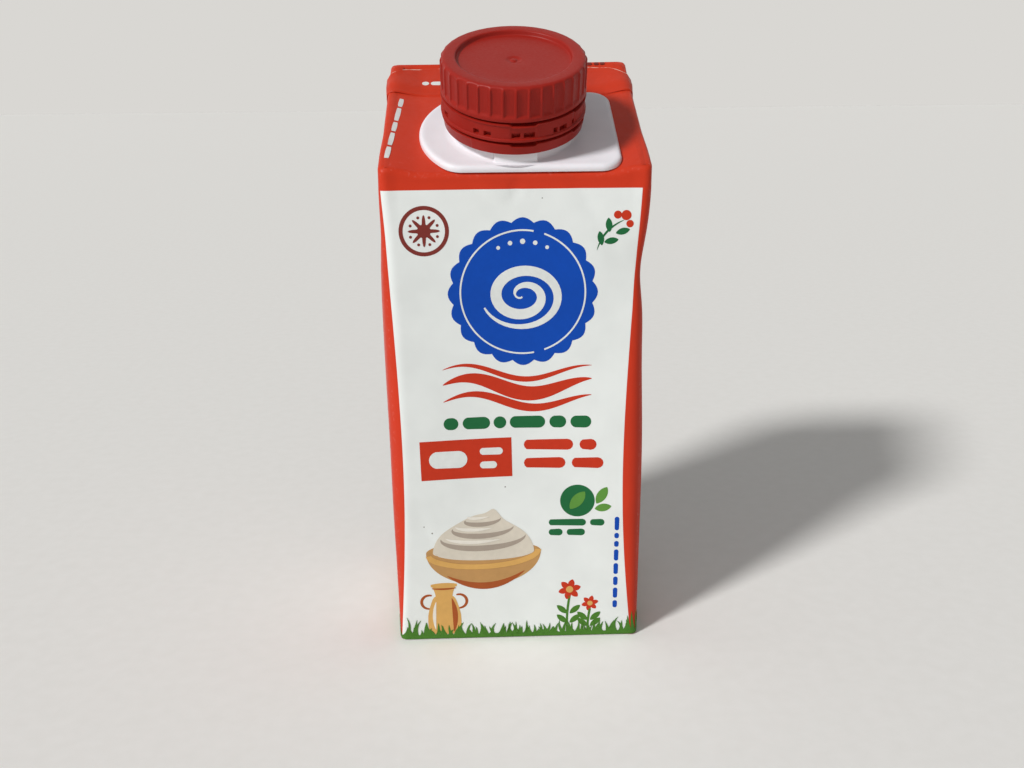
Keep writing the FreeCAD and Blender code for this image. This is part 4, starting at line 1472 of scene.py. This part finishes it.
def side_print():
    """Print on the side and back panels: rows of bars, a ruled table, a star and tufts of grass."""
    for hand, name in ((-1, "left"), (1, "right")):
        middle = 45.6 * hand
        piece = new_print(f"{name}_side_red")
        patch(piece, (middle, 77.5), pill(19.0, 4.6), 40)
        bars(piece, middle - 9.6, middle + 9.6, 70.0, rows=7, pitch=2.2, height=1.1, seed=31 + hand)
        bars(piece, middle - 9.6, middle + 9.6, 17.0, rows=4, pitch=2.2, height=1.1, seed=37 + hand)
        finish_print(piece, board_ink("red"))
        piece = new_print(f"{name}_side_green")
        for row in range(6):
            y = 48.0 - 4.2 * row
            ribbon(piece, line((middle - 9.8, y), (middle + 9.8, y)), even(0.25), 20)
        for row in range(5):
            y = 45.9 - 4.2 * row
            patch(piece, (middle - 5.6, y), pill(6.4 - 0.7 * (row % 3), 1.2), 14)
            patch(piece, (middle + 6.8, y), pill(3.6 - 0.5 * (row % 2), 1.2), 14)
        finish_print(piece, board_ink("green"))
        piece = new_print(f"{name}_side_white")
        bars(
            piece, middle - 7.4, middle + 8.4, 77.5,
            rows=1, pitch=2.0, height=1.7, seed=41 + hand, layer=1,
        )
        finish_print(piece, board_ink("white"))
    around = 2 * quarter_round() / MM
    piece = new_print("back_red")
    patch(piece, (around - 11.5, 92.0), star(6.0, 6, 0.3), 96)
    bars(piece, around - 20.5, around - 3.0, 78.0, rows=9, pitch=2.6, height=1.2, seed=51)
    bars(piece, 3.0 - around, 20.5 - around, 96.0, rows=12, pitch=2.6, height=1.2, seed=52)
    finish_print(piece, board_ink("red"))
    piece = new_print("back_green")
    bars(piece, around - 20.5, around - 3.0, 48.0, rows=6, pitch=3.2, height=1.6, seed=53)
    bars(piece, 3.0 - around, 20.5 - around, 58.0, rows=5, pitch=3.2, height=1.6, seed=54)
    finish_print(piece, board_ink("green"))
    piece = new_print("back_grass")
    rng = random.Random(61)
    for hand in (-1, 1):
        x = 3.0
        while x < 21.5:
            height = rng.uniform(2.5, 7.5)
            spot = hand * (around - x)
            blade = line((spot, 4.6), (spot + rng.uniform(-1.2, 1.2), 4.6 + height))
            ribbon(piece, blade, pointed(0.9), 5)
            x += rng.uniform(0.4, 0.9)
    finish_print(piece, board_ink("grass"))


def seam():
    """The board's overlap up the back, a strip of the same white board with its own edge."""
    piece = new_print("back_seam")
    middle = 2 * quarter_round() / MM - 0.9
    ribbon(piece, line((middle - 0.75, 4.2), (middle - 0.75, 103.5)), even(1.5), 60)
    finish_print(piece, board_ink("white"))


# ---------------------------------------------------------------- stage

# lamps: the way towards each, how wide it looks in degrees, and its strength
LAMPS = {"key": ((-0.72, -0.6, 0.7), 9, 2.75), "fill": ((-0.1, -0.8, 0.9), 60, 0.2)}
# the room's even light, and the plain colour that stands behind the carton
ROOM_LIGHT, ROOM_STRENGTH, BACKDROP = "#F2F4F6", 0.24, "#D9D7D3"
# the camera's place and lens in millimetres, and its turns in degrees
CAMERA_PLACE, CAMERA_LENS, SENSOR_WIDTH = (-6.995, -207.87, 114.87), 35.56, 36.0
CAMERA_TILT, CAMERA_YAW, CAMERA_ROLL = -17.234, -1.807, -0.522


def add_lamp(name, towards, spread, strength):
    """A sun with a soft edge: towards points at it, spread is how wide it looks, in degrees."""
    lamp = bpy.data.objects.new(name, bpy.data.lights.new(name, "SUN"))
    bpy.context.scene.collection.objects.link(lamp)
    lamp.data.angle = math.radians(spread)
    lamp.data.energy = strength
    lamp.rotation_euler = Vector(towards).to_track_quat("Z", "Y").to_euler()


def light_room(scene):
    """A dim even room that lights the carton, and a plain backdrop that camera and gloss see."""
    world = scene.world or bpy.data.worlds.new("studio")
    scene.world = world
    world.use_nodes = True
    tree = world.node_tree
    tree.nodes.clear()
    ray = add(tree, "ShaderNodeLightPath")
    seen = ray.outputs["Is Camera Ray"]
    for kind in ("Is Glossy Ray", "Is Transmission Ray"):
        either = add(tree, "ShaderNodeMath", {0: seen, 1: ray.outputs[kind]}, operation="MAXIMUM")
        seen = either.outputs["Value"]
    colour = add(tree, "ShaderNodeMix", {
        "Factor": seen, "A": linear(ROOM_LIGHT), "B": linear(BACKDROP),
    }, data_type="RGBA")
    power = add(tree, "ShaderNodeMapRange", {"Value": seen, "To Min": ROOM_STRENGTH, "To Max": 1.0})
    backdrop = add(tree, "ShaderNodeBackground", {
        "Color": colour.outputs["Result"], "Strength": power.outputs["Result"],
    })
    add(tree, "ShaderNodeOutputWorld", {"Surface": backdrop.outputs["Background"]})


def place_camera(scene):
    """The camera, as high as the cap and a hand's length in front, looking a little down."""
    camera = bpy.data.objects.new("camera", bpy.data.cameras.new("camera"))
    scene.collection.objects.link(camera)
    camera.data.lens = CAMERA_LENS
    camera.data.sensor_width = SENSOR_WIDTH
    camera.data.clip_start = 1 * MM
    turn = Euler((math.radians(90 + CAMERA_TILT), 0.0, math.radians(CAMERA_YAW))).to_matrix()
    roll = Matrix.Rotation(math.radians(CAMERA_ROLL), 3, "Z")
    camera.rotation_euler = (turn @ roll).to_euler()
    camera.location = Vector(CAMERA_PLACE) * MM
    scene.camera = camera


# ---------------------------------------------------------------- operators

class CARTON_OT_stage(bpy.types.Operator):
    """Set up the floor, the lamps and the camera"""
    bl_idname = "carton.stage"
    bl_label = "Build stage"

    def execute(self, context):
        floor = begin("floor", bpy.ops.mesh.primitive_plane_add, size=6)
        floor.data.materials.append(pale_floor())
        context.scene.view_settings.view_transform = "Standard"
        light_room(context.scene)
        for name, settings in LAMPS.items():
            add_lamp(name, *settings)
        place_camera(context.scene)
        return {"FINISHED"}


class CARTON_OT_body(bpy.types.Operator):
    """Build the filled board box"""
    bl_idname = "carton.body"
    bl_label = "Build board"

    def execute(self, context):
        piece = build_body()
        done(piece, printed_board(), "carton", angle=60)
        return {"FINISHED"}


class CARTON_OT_flaps(bpy.types.Operator):
    """Build the seal fin folded back on the slope, and the ears folded down the sides"""
    bl_idname = "carton.flaps"
    bl_label = "Build fin and ears"

    def execute(self, context):
        red = board_ink("red")
        fin = done(build_fin(), red, "carton", angle=50)
        fin.data.materials.append(cut_board("bare_board_edge", 0.1))
        fin.data.materials.append(cut_board("rubbed_board_edge", 0.5))
        for hand, name in ((-1, "left_ear"), (1, "right_ear")):
            done(build_ear(name, hand), red, "carton", angle=50)
        return {"FINISHED"}


class CARTON_OT_spout(bpy.types.Operator):
    """Build the white flange with its collar"""
    bl_idname = "carton.spout"
    bl_label = "Build flange"

    def execute(self, context):
        white = moulded_plastic("white_polyethylene", colours().plastic, 0.38, 0.15)
        done(build_flange(), white, "spout", angle=40)
        return {"FINISHED"}


class CARTON_OT_rings(bpy.types.Operator):
    """Build the lock ring and the slit tether strap"""
    bl_idname = "carton.rings"
    bl_label = "Build rings"

    def execute(self, context):
        red = moulded_plastic("red_polyethylene", colours().cap, 0.4, 0.2)
        done(build_rings(), red, "tether_band", angle=40)
        return {"FINISHED"}


class CARTON_OT_cap(bpy.types.Operator):
    """Build the ribbed screw cap"""
    bl_idname = "carton.cap"
    bl_label = "Build cap"

    def execute(self, context):
        red = moulded_plastic("red_polyethylene", colours().cap, 0.4, 0.2)
        done(build_cap(), red, "screw_cap", angle=40)
        return {"FINISHED"}


class CARTON_OT_front_print(bpy.types.Operator):
    """Lay the printed motifs on the front"""
    bl_idname = "carton.front_print"
    bl_label = "Lay front print"

    def execute(self, context):
        for motif in (badge, small_marks, dust_specks, flourish_and_bars, leaf_mark, bowl, churn, meadow):
            motif()
        return {"FINISHED"}


class CARTON_OT_other_print(bpy.types.Operator):
    """Lay the printed bars on the top, the sides and the back, and the seam strip up the back"""
    bl_idname = "carton.other_print"
    bl_label = "Lay top, side and back print"

    def execute(self, context):
        top_marks()
        side_print()
        seam()
        return {"FINISHED"}


class CARTON_PT_panel(bpy.types.Panel):
    """Sidebar panel with the carton's settings and build steps"""
    bl_idname = "CARTON_PT_panel"
    bl_label = "Cream carton"
    bl_space_type = "VIEW_3D"
    bl_region_type = "UI"
    bl_category = "Carton"

    def draw(self, context):
        for group in (sizes(), closure(), colours()):
            for name in group.__annotations__:
                self.layout.prop(group, name)
        for step in STEPS:
            self.layout.operator(step.bl_idname)


STEPS = (
    CARTON_OT_stage, CARTON_OT_body, CARTON_OT_flaps, CARTON_OT_spout, CARTON_OT_rings, CARTON_OT_cap,
    CARTON_OT_front_print, CARTON_OT_other_print,
)
GROUPS = {"carton_sizes": CartonSizes, "closure_sizes": ClosureSizes, "print_colours": PrintColours}


def register():
    for item in (*GROUPS.values(), *STEPS, CARTON_PT_panel):
        bpy.utils.register_class(item)
    for name, group in GROUPS.items():
        setattr(bpy.types.Scene, name, bpy.props.PointerProperty(type=group))


def unregister():
    for name in GROUPS:
        delattr(bpy.types.Scene, name)
    for item in reversed((*GROUPS.values(), *STEPS, CARTON_PT_panel)):
        bpy.utils.unregister_class(item)


def main():
    register()
    for step in STEPS:
        package, name = step.bl_idname.split(".")
        getattr(getattr(bpy.ops, package), name)()


if __name__ == "__main__":
    main()
